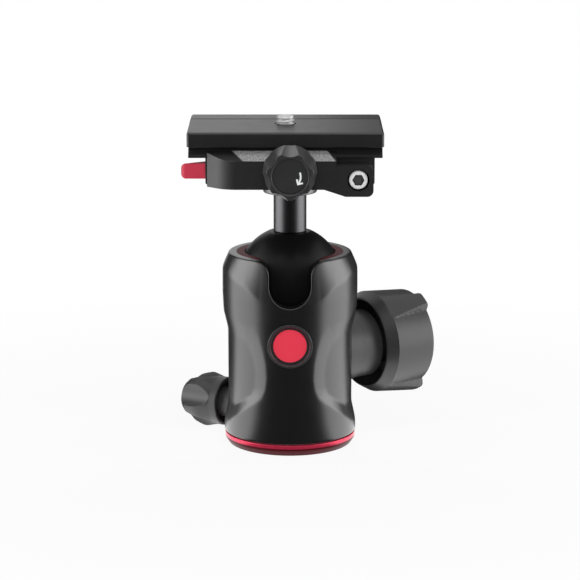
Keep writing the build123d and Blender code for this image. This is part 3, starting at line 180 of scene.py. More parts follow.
class Finish:
    """A material being wired: its shader, the place on the object, and any node on request."""

    def __init__(self, name, colour, roughness, metallic=0.0, specular=0.5):
        self.material = FINISHES[name] = bpy.data.materials.new(name)
        self.material.use_nodes = True
        self.tree = self.material.node_tree
        self.shader = self.tree.nodes["Principled BSDF"]
        self.colour = (*colour, 1.0)
        self.material.diffuse_color = self.colour
        for socket, value in (("Base Color", self.colour), ("Roughness", roughness), ("Metallic", metallic),
                              ("Specular IOR Level", specular)):
            self.shader.inputs[socket].default_value = value
        self.place = self.node("ShaderNodeTexCoord").outputs["Object"]
        self.height = None

    def node(self, kind, settings=None, values=None):
        """Any node in this material."""
        return tree_node(self.tree, kind, settings, values)

    def noise(self, size_mm, detail=2.0, stretch=(1, 1, 1)):
        """Mottling with features of this size, 0 to 1."""
        place = self.place
        if stretch != (1, 1, 1):
            place = self.node("ShaderNodeMapping", None, {"Vector": place, "Scale": stretch}).outputs[0]
        made = self.node("ShaderNodeTexNoise", None,
                         {"Vector": place, "Scale": 1 / (size_mm * MM), "Detail": detail})
        return Wire(self.tree, made.outputs["Fac"])

    def specks(self, size_mm):
        """Distance from the nearest of many scattered points, in cells of this size."""
        made = self.node("ShaderNodeTexVoronoi", None, {"Vector": self.place, "Scale": 1 / (size_mm * MM)})
        return Wire(self.tree, made.outputs["Distance"])

    def axes(self, centre=(0, 0, 0), turn=(0, 0, 0)):
        """The three coordinates in millimetres about a centre, after a turn."""
        moved = self.node("ShaderNodeMapping", {"vector_type": "TEXTURE"},
                          {"Vector": self.place, "Location": [c * MM for c in centre], "Rotation": turn,
                           "Scale": (MM, MM, MM)})
        parts = self.node("ShaderNodeSeparateXYZ", None, {0: moved.outputs[0]})
        return [Wire(self.tree, parts.outputs[i]) for i in range(3)]

    def tint(self, amount, other):
        """Base colour that goes to another colour by an amount."""
        current = self.shader.inputs["Base Color"]
        first = current.links[0].from_socket if current.is_linked else self.colour
        mix = self.node("ShaderNodeMix", {"data_type": "RGBA"}, {0: amount, 6: first, 7: (*other, 1.0)})
        self.tree.links.new(mix.outputs[2], current)
        return self

    def rough(self, wire):
        plug(self.tree, self.shader.inputs["Roughness"], wire)
        return self

    def relief(self, wire, depth_mm, strength=1.0):
        """Bumps of this depth, on top of those already there."""
        values = {"Height": wire, "Distance": depth_mm * MM, "Strength": strength}
        if self.height is not None:
            values["Normal"] = self.height
        bump = self.node("ShaderNodeBump", None, values)
        self.height = bump.outputs[0]
        self.tree.links.new(self.height, self.shader.inputs["Normal"])
        return self


# ======== shapes ======================================================================
def soften(outline, size, steps=4, closed=True):
    """Outline with rounded corners; a point may carry its own rounding as a third number."""
    points = [Vector(p[:2]) for p in outline]
    sizes = [p[2] if len(p) > 2 else size for p in outline]
    last = len(points) - 1
    made = []
    for i, corner in enumerate(points):
        if not closed and i in (0, last):
            made.append(corner)
            continue
        before, after = points[i - 1], points[(i + 1) % len(points)]
        back, ahead = before - corner, after - corner
        reach = min(sizes[i], back.length * 0.45, ahead.length * 0.45)
        if reach < 1e-4 or back.length < 1e-6 or ahead.length < 1e-6:
            made.append(corner)
            continue
        start, end = corner + back.normalized() * reach, corner + ahead.normalized() * reach
        made.append(corner + back.normalized() * reach * 1.06)
        for step in range(steps + 1):
            t = step / steps
            made.append(start * (1 - t) ** 2 + corner * 2 * t * (1 - t) + end * t * t)
        made.append(corner + ahead.normalized() * reach * 1.06)
    return made


def divided(rows, pitch):
    """Rows with more of them, so that none is further than pitch from the next."""
    made = [Vector(rows[0])]
    for row in rows[1:]:
        row = Vector(row)
        parts = max(1, math.ceil((row - made[-1]).length / pitch))
        start = made[-1]
        made += [start.lerp(row, (k + 1) / parts) for k in range(parts)]
    return made


def in_scene(name, data):
    """New object in the scene."""
    made = bpy.data.objects.new(name, data)
    bpy.context.scene.collection.objects.link(made)
    return made


def baked(piece):
    """Plain mesh of a piece after its modifiers."""
    bpy.context.view_layer.update()
    return bpy.data.meshes.new_from_object(piece.evaluated_get(bpy.context.evaluated_depsgraph_get()))


def sewn(mesh, sharp, dissolve=False):
    """Merge a mesh's doubles, turn its faces outward and keep its creases."""
    work = bmesh.new()
    work.from_mesh(mesh)
    bmesh.ops.remove_doubles(work, verts=work.verts, dist=TOUCHING)
    if dissolve:
        bmesh.ops.dissolve_degenerate(work, dist=TOUCHING, edges=work.edges)
    bmesh.ops.recalc_face_normals(work, faces=work.faces)
    work.to_mesh(mesh)
    work.free()
    mesh.shade_smooth()
    mesh.set_sharp_from_angle(angle=math.radians(sharp))


def mesh_piece(name, points, faces, sharp=30):
    """Object from points in millimetres."""
    mesh = bpy.data.meshes.new(name)
    mesh.from_pydata([Vector(p) * MM for p in points], [], faces)
    sewn(mesh, sharp, dissolve=True)
    return in_scene(name, mesh)


def turned(name, rows, axis, steps=144, shape=None, closed=True, sharp=30):
    """Turned piece from (radius, along) rows. shape(angle, radius, along) may change a radius."""
    origin, out, side, up = axis
    points, rings = [], []
    for row in rows:
        radius, along = row[0], row[1]
        if abs(radius) < 1e-6:
            rings.append([len(points)])
            points.append(origin + out * along)
            continue
        ring = []
        for k in range(steps):
            angle = 2 * math.pi * k / steps
            r = shape(angle, radius, along) if shape else radius
            ring.append(len(points))
            points.append(origin + out * along + (side * math.cos(angle) + up * math.sin(angle)) * r)
        rings.append(ring)
    faces = []
    pairs = list(zip(rings, rings[1:]))
    if closed:
        pairs.append((rings[-1], rings[0]))
    for a, b in pairs:
        if len(a) == 1 and len(b) == 1:
            continue
        for k in range(steps):
            n = (k + 1) % steps
            if len(a) == 1:
                faces.append((a[0], b[n], b[k]))
            elif len(b) == 1:
                faces.append((a[k], a[n], b[0]))
            else:
                faces.append((a[k], a[n], b[n], b[k]))
    return mesh_piece(name, points, faces, sharp)


def finished_copy(node, name, bevel_mm, sharp=30, segments=3, rounds=(), reshape=None):
    """Merged copy of a CAD solid with its hard edges rounded.

    rounds holds (x, y, size) of upright edges with a larger rounding; reshape moves each corner.
    """
    mesh = bpy.data.meshes.new(name)
    work = bmesh.new()
    work.from_mesh(NODES[node].data)
    bmesh.ops.remove_doubles(work, verts=work.verts, dist=2e-6)
    bmesh.ops.dissolve_limit(work, angle_limit=math.radians(1.0), verts=work.verts, edges=work.edges)
    for x, y, size in rounds:
        chosen = [e for e in work.edges
                  if all(math.hypot(v.co.x / MM - x, v.co.y / MM - y) < 0.05 for v in e.verts)]
        bmesh.ops.bevel(work, geom=chosen, offset=size * MM, segments=8, profile=0.5, affect="EDGES",
                        clamp_overlap=True)
    if reshape:
        for vert in work.verts:
            vert.co = reshape(vert.co / MM) * MM
    work.to_mesh(mesh)
    work.free()
    mesh.shade_smooth()
    raw = in_scene(name + "_raw", mesh)
    edge = raw.modifiers.new("edges", "BEVEL")
    edge.width = bevel_mm * MM
    edge.segments = segments
    edge.limit_method = "ANGLE"
    edge.angle_limit = math.radians(sharp)
    edge.use_clamp_overlap = True
    done = baked(raw)
    bpy.data.objects.remove(raw)
    done.set_sharp_from_angle(angle=math.radians(12))
    done.name = name
    return in_scene(name, done)


def grown(tree, base, inputs):
    """Plain mesh of a piece after a geometry tree has worked on it."""
    modifier = base.modifiers.new("shape", "NODES")
    modifier.node_group = tree
    sockets = {item.name: item.identifier for item in tree.interface.items_tree
               if item.item_type == "SOCKET" and item.in_out == "INPUT"}
    for label, value in inputs.items():
        modifier[sockets[label]] = value
    done = baked(base)
    base.modifiers.clear()
    base.data = done
    return base


def set_in_place(piece, axis, sharp=30):
    """Bake a piece made on its own upright axis into its place on the head."""
    origin, out, side, up = axis
    turn = Matrix((side, up, out)).transposed().to_4x4()
    piece.data.transform(Matrix.Translation(origin * MM) @ turn)
    sewn(piece.data, sharp)
    return piece


def carved(piece, room, sharp=30):
    """Piece with the room of another, closed shape cut out of it."""
    cut = piece.modifiers.new("room", "BOOLEAN")
    cut.operation = "DIFFERENCE"
    cut.object = room
    done = baked(piece)
    piece.modifiers.clear()
    piece.data = done
    bpy.data.objects.remove(room)
    done.shade_smooth()
    done.set_sharp_from_angle(angle=math.radians(sharp))
    return piece


def wear(piece, finish):
    """Give a piece its material."""
    piece.data.materials.clear()
    piece.data.materials.append(FINISHES[finish])
    return piece


def stand_for(piece, finish, node):
    """Finish a new piece and let it stand for its CAD node.
    """
    wear(piece, finish)
    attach(piece, BODY_OF[node])
    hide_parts(node)
    return piece


def lathed(name, outline, size, axis, steps, finish, node, closed=True):
    """Turned piece with rounded corners that stands for its CAD node."""
    return stand_for(turned(name, soften(outline, size, closed=closed), axis, steps), finish, node)


def knob_cap(name, radius, seat, top, edge, axis, node, steps=120):
    """Cap let into the end of a knob."""
    lathed(name, [(0, seat), (radius, seat, 0.02), (radius, top, edge), (0, top)], 0.1, axis, steps,
           "cap_plastic", node, closed=False)


def dress(node, finish):
    """Give a CAD solid that stays its finish."""
    for slot in NODES[node].material_slots:
        slot.material = FINISHES[finish]
    if not NODES[node].material_slots:
        NODES[node].data.materials.append(FINISHES[finish])


# ======== geometry trees ==============================================================
def tree_with(name, numbers):
    """Empty geometry tree with named number inputs; returns it and a wire for each name."""
    tree = bpy.data.node_groups.new(name, "GeometryNodeTree")
    tree.interface.new_socket("Geometry", in_out="INPUT", socket_type="NodeSocketGeometry")
    for label, kind, value in numbers:
        made = tree.interface.new_socket(label, in_out="INPUT", socket_type=kind)
        if value is not None:
            made.default_value = value
    tree.interface.new_socket("Geometry", in_out="OUTPUT", socket_type="NodeSocketGeometry")
    start = tree.nodes.new("NodeGroupInput")
    end = tree.nodes.new("NodeGroupOutput")
    wires = {socket.name: Wire(tree, socket) for socket in start.outputs if socket.name}
    return tree, wires, end


def close_tree(tree, end, geometry, material):
    """Realize what is repeated, set its material and end the tree."""
    real = tree_node(tree, "GeometryNodeRealizeInstances", None, {0: geometry})
    dressed = tree_node(tree, "GeometryNodeSetMaterial", None,
                        {"Geometry": real.outputs[0], "Material": material})
    tree.links.new(dressed.outputs[0], end.inputs[0])
    return tree


def valley_tree():
    """Finger valleys around an upright axis: round bars that lean in towards the knob's end."""
    tree, wires, end = tree_with("finger valleys", (
        ("Count", "NodeSocketInt", 7), ("Bar radius", "NodeSocketFloat", 0.0026),
        ("Distance at start", "NodeSocketFloat", 0.0105), ("Distance at end", "NodeSocketFloat", 0.0105),
        ("Start", "NodeSocketFloat", 0.0), ("End", "NodeSocketFloat", 0.0127),
        ("Softness", "NodeSocketFloat", 0.0004), ("Material", "NodeSocketMaterial", None),
    ))
    place = tree_node(tree, "GeometryNodeInputPosition")
    parts = tree_node(tree, "ShaderNodeSeparateXYZ", None, {0: place.outputs[0]})
    x, y, z = (Wire(tree, parts.outputs[i]) for i in range(3))
    radius = (x * x + y * y) ** 0.5
    angle = y.maths("ARCTAN2", x)
    period = 2 * math.pi / wires["Count"]
    folded = angle - period * (angle / period).maths("ROUND")
    along = (z - wires["Start"]) / (wires["End"] - wires["Start"])
    distance = wires["Distance at start"] + (wires["Distance at end"] - wires["Distance at start"]) * along
    across = distance * folded.maths("SINE")
    inside = wires["Bar radius"] * wires["Bar radius"] - across * across
    cut = distance * folded.maths("COSINE") - inside.most(0.0) ** 0.5
    missed = inside.maths("LESS_THAN", 0.0)  # beside the bars the cut lies a metre further out
    shrunk = radius.least(cut + missed, wires["Softness"])
    scale = (shrunk / radius.most(1e-6)).least(1.0)
    joined = tree_node(tree, "ShaderNodeCombineXYZ", None, {0: x * scale, 1: y * scale, 2: z})
    moved = tree_node(tree, "GeometryNodeSetPosition", None,
                      {"Geometry": wires["Geometry"], "Position": joined.outputs[0]})
    return close_tree(tree, end, moved.outputs[0], wires["Material"])


def valleyed(name, rows, steps, axis, finish, count, bar_r, distances, ends):
    """Turned knob with finger valleys; the bars lie at the two distances at the two ends."""
    knob = wear(turned(name, rows, UPRIGHT, steps), finish)
    grown(valley_tree(), knob, {
        "Count": count, "Bar radius": bar_r * MM, "Distance at start": distances[0] * MM,
        "Distance at end": distances[1] * MM, "Start": ends[0] * MM, "End": ends[1] * MM,
        "Softness": 0.03 * MM, "Material": FINISHES[finish]})
    return set_in_place(knob, axis, 24)


def spring_tree():
    """Coil springs on a row of places: a wire wound along each place's upright axis."""
    tree, wires, end = tree_with("coil springs", (
        ("Turns", "NodeSocketFloat", 8.0), ("Coil radius", "NodeSocketFloat", 0.0015),
        ("Wire radius", "NodeSocketFloat", 0.00025), ("Length", "NodeSocketFloat", 0.008),
        ("Material", "NodeSocketMaterial", None),
    ))
    coil = tree_node(tree, "GeometryNodeCurveSpiral", None, {
        "Resolution": 20, "Rotations": wires["Turns"], "Start Radius": wires["Coil radius"],
        "End Radius": wires["Coil radius"], "Height": wires["Length"]})
    profile = tree_node(tree, "GeometryNodeCurvePrimitiveCircle", None,
                        {"Resolution": 8, "Radius": wires["Wire radius"]})
    wound = tree_node(tree, "GeometryNodeCurveToMesh", None,
                      {"Curve": coil.outputs[0], "Profile Curve": profile.outputs[0], "Fill Caps": True})
    spread = tree_node(tree, "GeometryNodeInstanceOnPoints", None,
                       {"Points": wires["Geometry"], "Instance": wound.outputs[0]})
    return close_tree(tree, end, spread.outputs[0], wires["Material"])


# ======== finishes ====================================================================
LATHE_LINES = 38.0  # turning lines of the red pieces, in radians for each millimetre
SLOPE_FOOT_Z, SLOPE_BACK_Y = 99.93, -17.2  # of the front jaw's sloped face, which carries a painted highlight in light specks


def make_finishes(look):
    """All materials of the head, from the colours the user may change."""
    body = Finish("body_black", look.body_colour, 0.3, specular=0.9)
    grain, mottle = body.noise(0.22, 3), body.noise(6, 2)
    body.tint(mottle.ramp(0.35, 0.75) * 0.35, [c * 1.35 for c in look.body_colour])
    body.rough(grain * 0.06 + mottle * 0.05 + 0.25).relief(grain, 0.010, 0.3)

    clamp = Finish("clamp_black", look.clamp_colour, 0.5, specular=0.6)
    speck, grain = clamp.specks(0.42), clamp.noise(0.16, 2)
    clamp.tint(speck.ramp(0.45, 0.1) * 0.5, [c * 2.2 for c in look.clamp_colour])
    x, y, z = clamp.axes()
    # painted highlight: the front jaw's sloped face goes towards white, in specks, where an overhead light
    # would catch it
    slope = z.maths("GREATER_THAN", SLOPE_FOOT_Z) * y.maths("LESS_THAN", SLOPE_BACK_Y)
    slope = slope * (x + y * 0.507).ramp(-28.0, -27.6) * (x + y * 0.37).ramp(5.75, 5.35)
    clamp.tint(slope * (grain * 0.5 + speck.ramp(0.7, 0.1) * 0.5), (1.0, 1.0, 1.0))
    clamp.rough(grain * 0.2 + 0.4).relief(speck, 0.05, 0.5).relief(grain, 0.02, 0.4)

    for name, colour, rough, metallic, centre, turn in (
            ("red_anodised", look.red_colour, 0.34, 0.5, (0, 0, 0), 0.0),
            ("red_badge", look.badge_colour, 0.3, 0.15, (0, 0, BADGE_Z), math.pi / 2)):
        red = Finish(name, colour, rough, metallic)
        x, y, z = red.axes(centre, (0, 0, turn))
        if name == "red_anodised":
            # painted shade: the foot's downward taper, below 2.4 to 2.7 mm, goes dark red
            red.tint(z.ramp(2.7, 2.4), (0.085, 0.002, 0.006))
        else:
            x, y = y, z
        ring = (x * x + y * y) ** 0.5
        lines = (ring * LATHE_LINES).maths("SINE")
        red.rough(red.noise(0.6, 2) * 0.12 + rough - 0.05).relief(lines, 0.003, 0.25)

    for name, colour, rough in (("red_polymer", look.ring_colour_and_painted_shade, 0.55),
                                ("red_button", look.button_colour, 0.42)):
        red = Finish(name, colour, rough, specular=0.25)
        grain = red.noise(0.3, 3)
        red.tint(red.noise(3, 2) * 0.25, [c * 0.75 for c in colour])
        red.rough(grain * 0.15 + rough - 0.08).relief(grain, 0.01, 0.4)

    for name, colour, rough, specular, grain_mm, depth in (
            ("bezel", (0.03, 0.03, 0.032), 0.28, 0.45, 0.3, 0.004),
            ("knob_rubber", look.knob_colour, 0.40, 0.5, 0.25, 0.012),
            ("knob_satin", look.knob_colour, 0.36, 0.9, 0.25, 0.006),
            ("cap_plastic", (0.025, 0.025, 0.026), 0.42, 0.3, 0.4, 0.006),
            ("ball_coat", look.ball_colour, 0.4, 0.2, 0.5, 0.002),
            ("collar_black", (0.03, 0.03, 0.031), 0.42, 0.5, 0.3, 0.006),
            ("plate_black", look.plate_colour, 0.40, 0.5, 0.22, 0.012)):
        black = Finish(name, colour, rough, specular=specular)
        grain, mottle = black.noise(grain_mm, 3), black.noise(5, 2)
        black.tint(mottle.ramp(0.4, 0.8) * 0.3, [c * 1.4 for c in colour])
        roughness = grain * 0.10 + mottle * 0.06 + rough - 0.08
        if name == "plate_black":
            x, y, z = black.axes()
            # painted shade: a near-black, rougher band along the groove line on the plate's top
            away = (y - PLATE_LINE_Y).maths("ABSOLUTE")
            painted_groove_shade = away.ramp(0.62, 0.42) * z.maths("GREATER_THAN", PLATE_TOP - 0.7)
            black.tint(painted_groove_shade, (0.0005, 0.0005, 0.0005))
            roughness = roughness + painted_groove_shade * 0.5
        black.rough(roughness).relief(grain, depth, 0.35)

    for name, colour, rough, metallic in (
            ("stem_metal", (0.10, 0.10, 0.103), 0.36, 1.0), ("boss_metal", (0.16, 0.16, 0.165), 0.4, 1.0),
            ("steel", (0.5, 0.5, 0.52), 0.3, 1.0), ("nickel", (0.60, 0.60, 0.60), 0.3, 0.45),
            ("brass", (0.6, 0.42, 0.16), 0.3, 1.0), ("screw_nickel", (0.95, 0.95, 0.95), 0.3, 0.2)):
        metal = Finish(name, colour, rough, metallic)
        streak = metal.noise(0.8, 3, stretch=(0.15, 0.15, 6))
        metal.tint(metal.noise(4, 2) * 0.25, [c * 0.8 for c in colour])
        metal.rough(streak * 0.14 + rough - 0.06).relief(streak, 0.003, 0.3)
        if name == "screw_nickel":
            x, y, z = metal.axes((GUIDE_X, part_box("guide_screw")[0].y / MM, GUIDE_Z))
            # painted shade: the hex socket in the guide screw's head goes dark grey
            metal.tint(y.ramp(0.15, 0.5) * ((x * x + z * z) ** 0.5).ramp(2.3, 2.1), (0.10, 0.10, 0.10))

    slip = Finish("slip_polymer", (0.68, 0.66, 0.6), 0.45)
    slip.tint(slip.noise(2, 2) * 0.3, (0.55, 0.53, 0.48)).rough(slip.noise(0.4, 2) * 0.15 + 0.38)

    mark = Finish("arrow_white", (0.85, 0.85, 0.85), 0.5)
    mark.tint(mark.noise(0.5, 2) * 0.3, (0.7, 0.7, 0.7)).rough(mark.noise(0.3, 2) * 0.2 + 0.4)


# ======== housing =====================================================================
# height, radius
SKIN = ((BODY_FOOT_Z, 22.2), (7.6, 22.2), (44, 22.3), (52.2, 22.7), (60.5, 22.7), (70, 22.7))
# degrees from the front, height
SCOOP_OUTER = ((90, 45.5), (66.8, 44.6), (50, 44.4), (35.7, 43.7), (29, 40.5), (24.9, 36.4), (21.5, 31.5),
               (20.5, 26.3), (22, 22.5), (25.8, 19.5), (33, 17.2), (43.7, 14.3), (55, 11.5), (66.8, 9),
               (90, 7.5))
SCOOP_INNER = ((90, 39.6), (66, 38.7), (50.5, 38.8), (40.9, 36.3), (35.5, 32.1), (33.5, 27.2), (34.2, 22.7),
               (38.2, 20), (48, 17.5), (60, 15), (90, 13.8))
FOLD = ((0, 51.5), (19, 52), (27, 52.9), (42, 56.9), (66, 60), (90, 60.5), (180, 60.5))
SCOOP_DEPTH = 1.4
SKIN_R = 21.6  # radius at which the scoop's outline is measured
SPLIT_Z = 46.0  # the rows are level below this and follow the mouth above it
LIP = 0.5
SHOULDER = 5.0  # rounding between the notch's sides and the rim
BOTTOM_END, SIDE_END, SHOULDER_END = 20, 25, 45  # columns that end the mouth's stretches, in degrees
RIM_START = 35.5  # where the shoulder meets the rim, in degrees from the front
BORE = ((CUP_BORE_R, 35.6), (17.7, 35.5), (6.55, 35.5), (6.55, 20), (15.6, 20), (15.6, 15), (12.05, 15),
        (12.05, 4.5), (12.25, BODY_FOOT_Z))  # radius, height


def between(table, value):
    """Straight reading of a table of (place, value)."""
    if value <= table[0][0]:
        return table[0][1]
    for (a, va), (b, vb) in zip(table, table[1:]):
        if value <= b:
            return va + (vb - va) * (value - a) / (b - a)
    return table[-1][1]


def edge_distance(outline, u, v):
    """Distance to a closed outline in the skin's plane, positive inside."""
    inside = False
    nearest = 1e9
    for (ax, ay), (bx, by) in zip(outline, outline[1:] + outline[:1]):
        if (ay > v) != (by > v) and u < (bx - ax) * (v - ay) / (by - ay) + ax:
            inside = not inside
        dx, dy = bx - ax, by - ay
        t = max(0.0, min(1.0, ((u - ax) * dx + (v - ay) * dy) / (dx * dx + dy * dy)))
        nearest = min(nearest, math.hypot(u - ax - dx * t, v - ay - dy * t))
    return nearest if inside else -nearest


def mirrored(half):
    """Closed outline in skin millimetres from its front half, mirrored about the side."""
    to_mm = math.radians(1) * SKIN_R
    front = [(a * to_mm, z) for a, z in half]
    back = [((180 - a) * to_mm, z) for a, z in reversed(half) if a < 90]
    return front + back


def soft_step(x, e=0.12):
    """0 below 0, 1 above 1, with soft bends."""
    return 0.5 * (1 + math.sqrt(x * x + e * e) - math.sqrt((1 - x) ** 2 + e * e))


def softly(x, e):
    """0 below 0 and x above it, with a soft bend."""
    return 0.5 * (x + math.sqrt(x * x + e * e))


def body_radius(azimuth, z, outer, inner):
    """Outer radius of the housing at an angle from the front, in degrees, and a height."""
    azimuth = abs(azimuth)
    fold = between(FOLD, azimuth)
    slope = (between(SKIN, fold) - RIM_R) / (RIM_Z - fold)
    radius = between(SKIN, z) - softly(z - fold, 0.8) * slope
    u = math.radians(azimuth) * SKIN_R
    out = edge_distance(outer, u, z)
    if out > -4:
        deep = edge_distance(inner, u, z)
        share = out / (out - deep) if deep < 0 else 1 + min(deep, 4) / 5
        if out < 0:
            share = out / 5
        radius -= SCOOP_DEPTH * soft_step(share)
    return radius


def housing_mouth(angle):
    """Mouth at a column, by the column's angle from the front.

    Gives its x or its azimuth, its height, the way into the opening and how far it has turned from the
    notch (0) to the rim (1).
    """
    if angle < BOTTOM_END:
        swing = math.radians(angle / BOTTOM_END * 90)
        return (NOTCH_HALF * math.sin(swing), None, NOTCH_Z - NOTCH_HALF * math.cos(swing),
                (-math.sin(swing), math.cos(swing)), 0.0)
    if angle < SIDE_END:
        rise = (RIM_Z - SHOULDER - NOTCH_Z) * (angle - BOTTOM_END) / (SIDE_END - BOTTOM_END)
        return NOTCH_HALF, None, NOTCH_Z + rise, (-1.0, 0.0), 0.0
    if angle < SHOULDER_END:
        turn = (angle - SIDE_END) / (SHOULDER_END - SIDE_END)
        swing = math.radians(turn * 90)
        return (NOTCH_HALF + SHOULDER * (1 - math.cos(swing)), None, RIM_Z - SHOULDER * (1 - math.sin(swing)),
                (-math.cos(swing), math.sin(swing)), turn)
    share = (angle - SHOULDER_END) / (180 - SHOULDER_END)
    return None, RIM_START + share * (180 - RIM_START), RIM_Z, (0.0, 1.0), 1.0


def bearing(x, radius):
    """Degrees from the front at which a circle reaches x."""
    return math.degrees(math.asin(min(1, x / radius)))


def housing_mesh():
    """Housing skin in columns: from the foot to the mouth, over the lip and down the bore."""
    outer, inner = mirrored(SCOOP_OUTER), mirrored(SCOOP_INNER)
    columns, low_rows, high_rows, lip_rows, bore_rows = 480, 84, 52, 6, 16
    low_z = BODY_FOOT_Z + 0.3
    points, faces = [], []

    def at(azimuth, radius, z):
        a = math.radians(azimuth)
        return Vector((radius * math.sin(a), -radius * math.cos(a), z))

    def skin(azimuth, z):
        return at(azimuth, body_radius(azimuth, z, outer, inner), z)

    for c in range(columns):
        angle = -180 + 360 * c / columns
        side, away = -1 if angle < 0 else 1, abs(angle)
        column = [at(angle, 21.9, BODY_FOOT_Z), at(angle, 22.12, BODY_FOOT_Z + 0.08)]
        column += [skin(angle, low_z + (SPLIT_Z - low_z) * k / low_rows) for k in range(low_rows + 1)]
        x, azimuth, mouth_z, into, turn = housing_mouth(away)
        edge_r = RIM_R
        if azimuth is None:
            for _ in range(6):
                azimuth = bearing(x, edge_r)
                edge_r = body_radius(azimuth, mouth_z, outer, inner)
        # where the skin leaves for the lip
        start_x = edge_r * math.sin(math.radians(azimuth)) - into[0] * LIP
        start_z = mouth_z - into[1] * LIP
        start_a = azimuth if x is None else bearing(start_x, edge_r)
        for k in range(1, high_rows + 1):
            share = k / high_rows
            azimuth_here = side * (away + (start_a - away) * share)
            column.append(skin(azimuth_here, SPLIT_Z + (start_z - SPLIT_Z) * share))
        start = column[-1].copy()
        mouth = at(side * azimuth, edge_r, mouth_z)
        way = Vector((math.sin(math.radians(azimuth)) * turn * side,
                      -math.cos(math.radians(azimuth)) * turn - (1 - turn), 0)).normalized()
        for k in range(1, lip_rows + 1):
            swing = math.radians(90 * k / lip_rows)
            column.append(start + (mouth - start) * math.sin(swing) - way * LIP * (1 - math.cos(swing)))
        brim = column[-1]
        inner_a = azimuth if x is None else bearing(x, CUP_BORE_R) * (1 - turn) + azimuth * turn
        end = at(side * inner_a, CUP_BORE_R, mouth_z)
        column += [brim.lerp(end, k / 4 * 0.94) for k in range(1, 5)]
        column.append(end + Vector((0, 0, -0.12)) if into[1] > 0.5 else end)
        for k in range(1, bore_rows + 1):
            share = k / bore_rows
            column.append(at(side * (inner_a + (away - inner_a) * share), CUP_BORE_R,
                             mouth_z + (SPLIT_Z - mouth_z) * share))
        column += [at(angle, radius, z) for radius, z in BORE]
        points += column
    rows = len(points) // columns
    for c in range(columns):
        one, two = c * rows, (c + 1) % columns * rows
        faces += [(one + k, two + k, two + (k + 1) % rows, one + (k + 1) % rows) for k in range(rows)]
    return mesh_piece("housing_shell", points, faces, sharp=38)


# ======== knobs =======================================================================
HOLLOWS = (5.0, 125.0, 245.0)  # middles of the hollows, from the side downwards
GRIP_BACK, GRIP_FRONT = 33.1, 48.6  # along the main knob's axis
GRIP_R, HOLLOW_R, CREST_R = 17.5, 16.3, 19.3  # at the back; in the hollows and at the brim in front
WALL_START, WALL_FOOT, WALL_BRIM = (
    Vector((radius * math.cos(math.radians(half)), radius * math.sin(math.radians(half)), along))
    for half, radius, along in ((43.0, GRIP_R, GRIP_BACK), (49.5, HOLLOW_R, GRIP_FRONT),
                                (53.0, CREST_R, GRIP_FRONT)))
WALL_FACING = (WALL_FOOT - WALL_START).cross(WALL_BRIM - WALL_START)
GRIP_EDGE = 0.5  # rounding of the hollows' front edge
CAP_FACE = 12.2  # front of the clamp knob's cap, from the knob's back


def grip_shape(angle, radius, along):
    """Main knob's grip: three broad hollows between narrow ridges. Angle 0 is up."""
    if along < GRIP_BACK or radius < 15.0:
        return radius
    floor = GRIP_R - (GRIP_R - HOLLOW_R) * (along - GRIP_BACK) / (GRIP_FRONT - GRIP_BACK)
    over = along - (GRIP_FRONT - GRIP_EDGE)
    if over > 0:
        floor -= GRIP_EDGE - math.sqrt(max(0.0, GRIP_EDGE ** 2 - over ** 2))
    down = math.degrees(angle) - 90
    theta = math.radians(min(abs((down - middle + 180) % 360 - 180) for middle in HOLLOWS))
    reach = WALL_FACING.x * math.cos(theta) + WALL_FACING.y * math.sin(theta)
    wall = min(30.0, (WALL_FACING.dot(WALL_START) - WALL_FACING.z * along) / reach)
    return radius - softly(radius - floor - softly(wall - floor, 0.10), 0.12)


def arrow_outline(radius, width, start, end, steps=14):
    """Curved stroke with an open head, as its left edge, its head's points and its right edge."""
    left, right = [], []
    for k in range(steps + 1):
        a = math.radians(start + (end - start) * k / steps)
        way = Vector((math.sin(a), math.cos(a)))
        left.append(way * (radius + width / 2))
        right.append(way * (radius - width / 2))
    a = math.radians(end)
    across, along = Vector((math.sin(a), math.cos(a))), Vector((math.cos(a), -math.sin(a)))
    reach = 1.35
    tip = across * radius + along * (width * math.sqrt(2) + width / 2)

    def point(back, side):
        return tip - along * back + across * side

    inner = reach - width / math.sqrt(2)
    outer = reach + width / math.sqrt(2)
    head = [point(outer, inner), point(reach, reach), tip, point(reach, -reach), point(outer, -inner)]
    return left, head, right


# ======== properties ==================================================================
def colour_setting(label, value, what):
    return bpy.props.FloatVectorProperty(name=label, description=what, default=value, size=3, subtype="COLOR",
                                         min=0.0, max=1.0)


def length_setting(label, value, least, most, what):
    return bpy.props.FloatProperty(name=label, description=what, default=value, min=least, max=most,
                                   unit="LENGTH")


def count_setting(label, value, most, what):
    return bpy.props.IntProperty(name=label, description=what, default=value, min=3, max=most)


def light_setting(label, what):
    return bpy.props.FloatProperty(name=label, description=what, default=1.0, min=0.0, max=20.0)


class HeadLook(bpy.types.PropertyGroup):
    """Colours of the head."""

    body_colour: colour_setting("Housing", (0.006, 0.006, 0.006), "Black coat of the housing")
    clamp_colour: colour_setting("Clamp", (0.013, 0.013, 0.013), "Textured black coat of the clamp")
    plate_colour: colour_setting("Plate", (0.012, 0.012, 0.012), "Black coat of the camera plate")
    knob_colour: colour_setting("Knobs", (0.024, 0.024, 0.025), "Black of the knobs")
    ball_colour: colour_setting("Ball", (0.004, 0.004, 0.004), "Black coat of the ball")
    red_colour: colour_setting("Base band", (0.66, 0.035, 0.085), "Red anodised base")
    badge_colour: colour_setting("Badge", (1.0, 0.055, 0.10), "Red disc on the front")
    # seat ring: its own red, darkened further as painted shade for the recess in the rim
    ring_colour_and_painted_shade: colour_setting("Seat ring", (0.12, 0.012, 0.018), "Red ring in the rim")
    button_colour: colour_setting("Safety button", (0.60, 0.045, 0.08), "Red safety button")


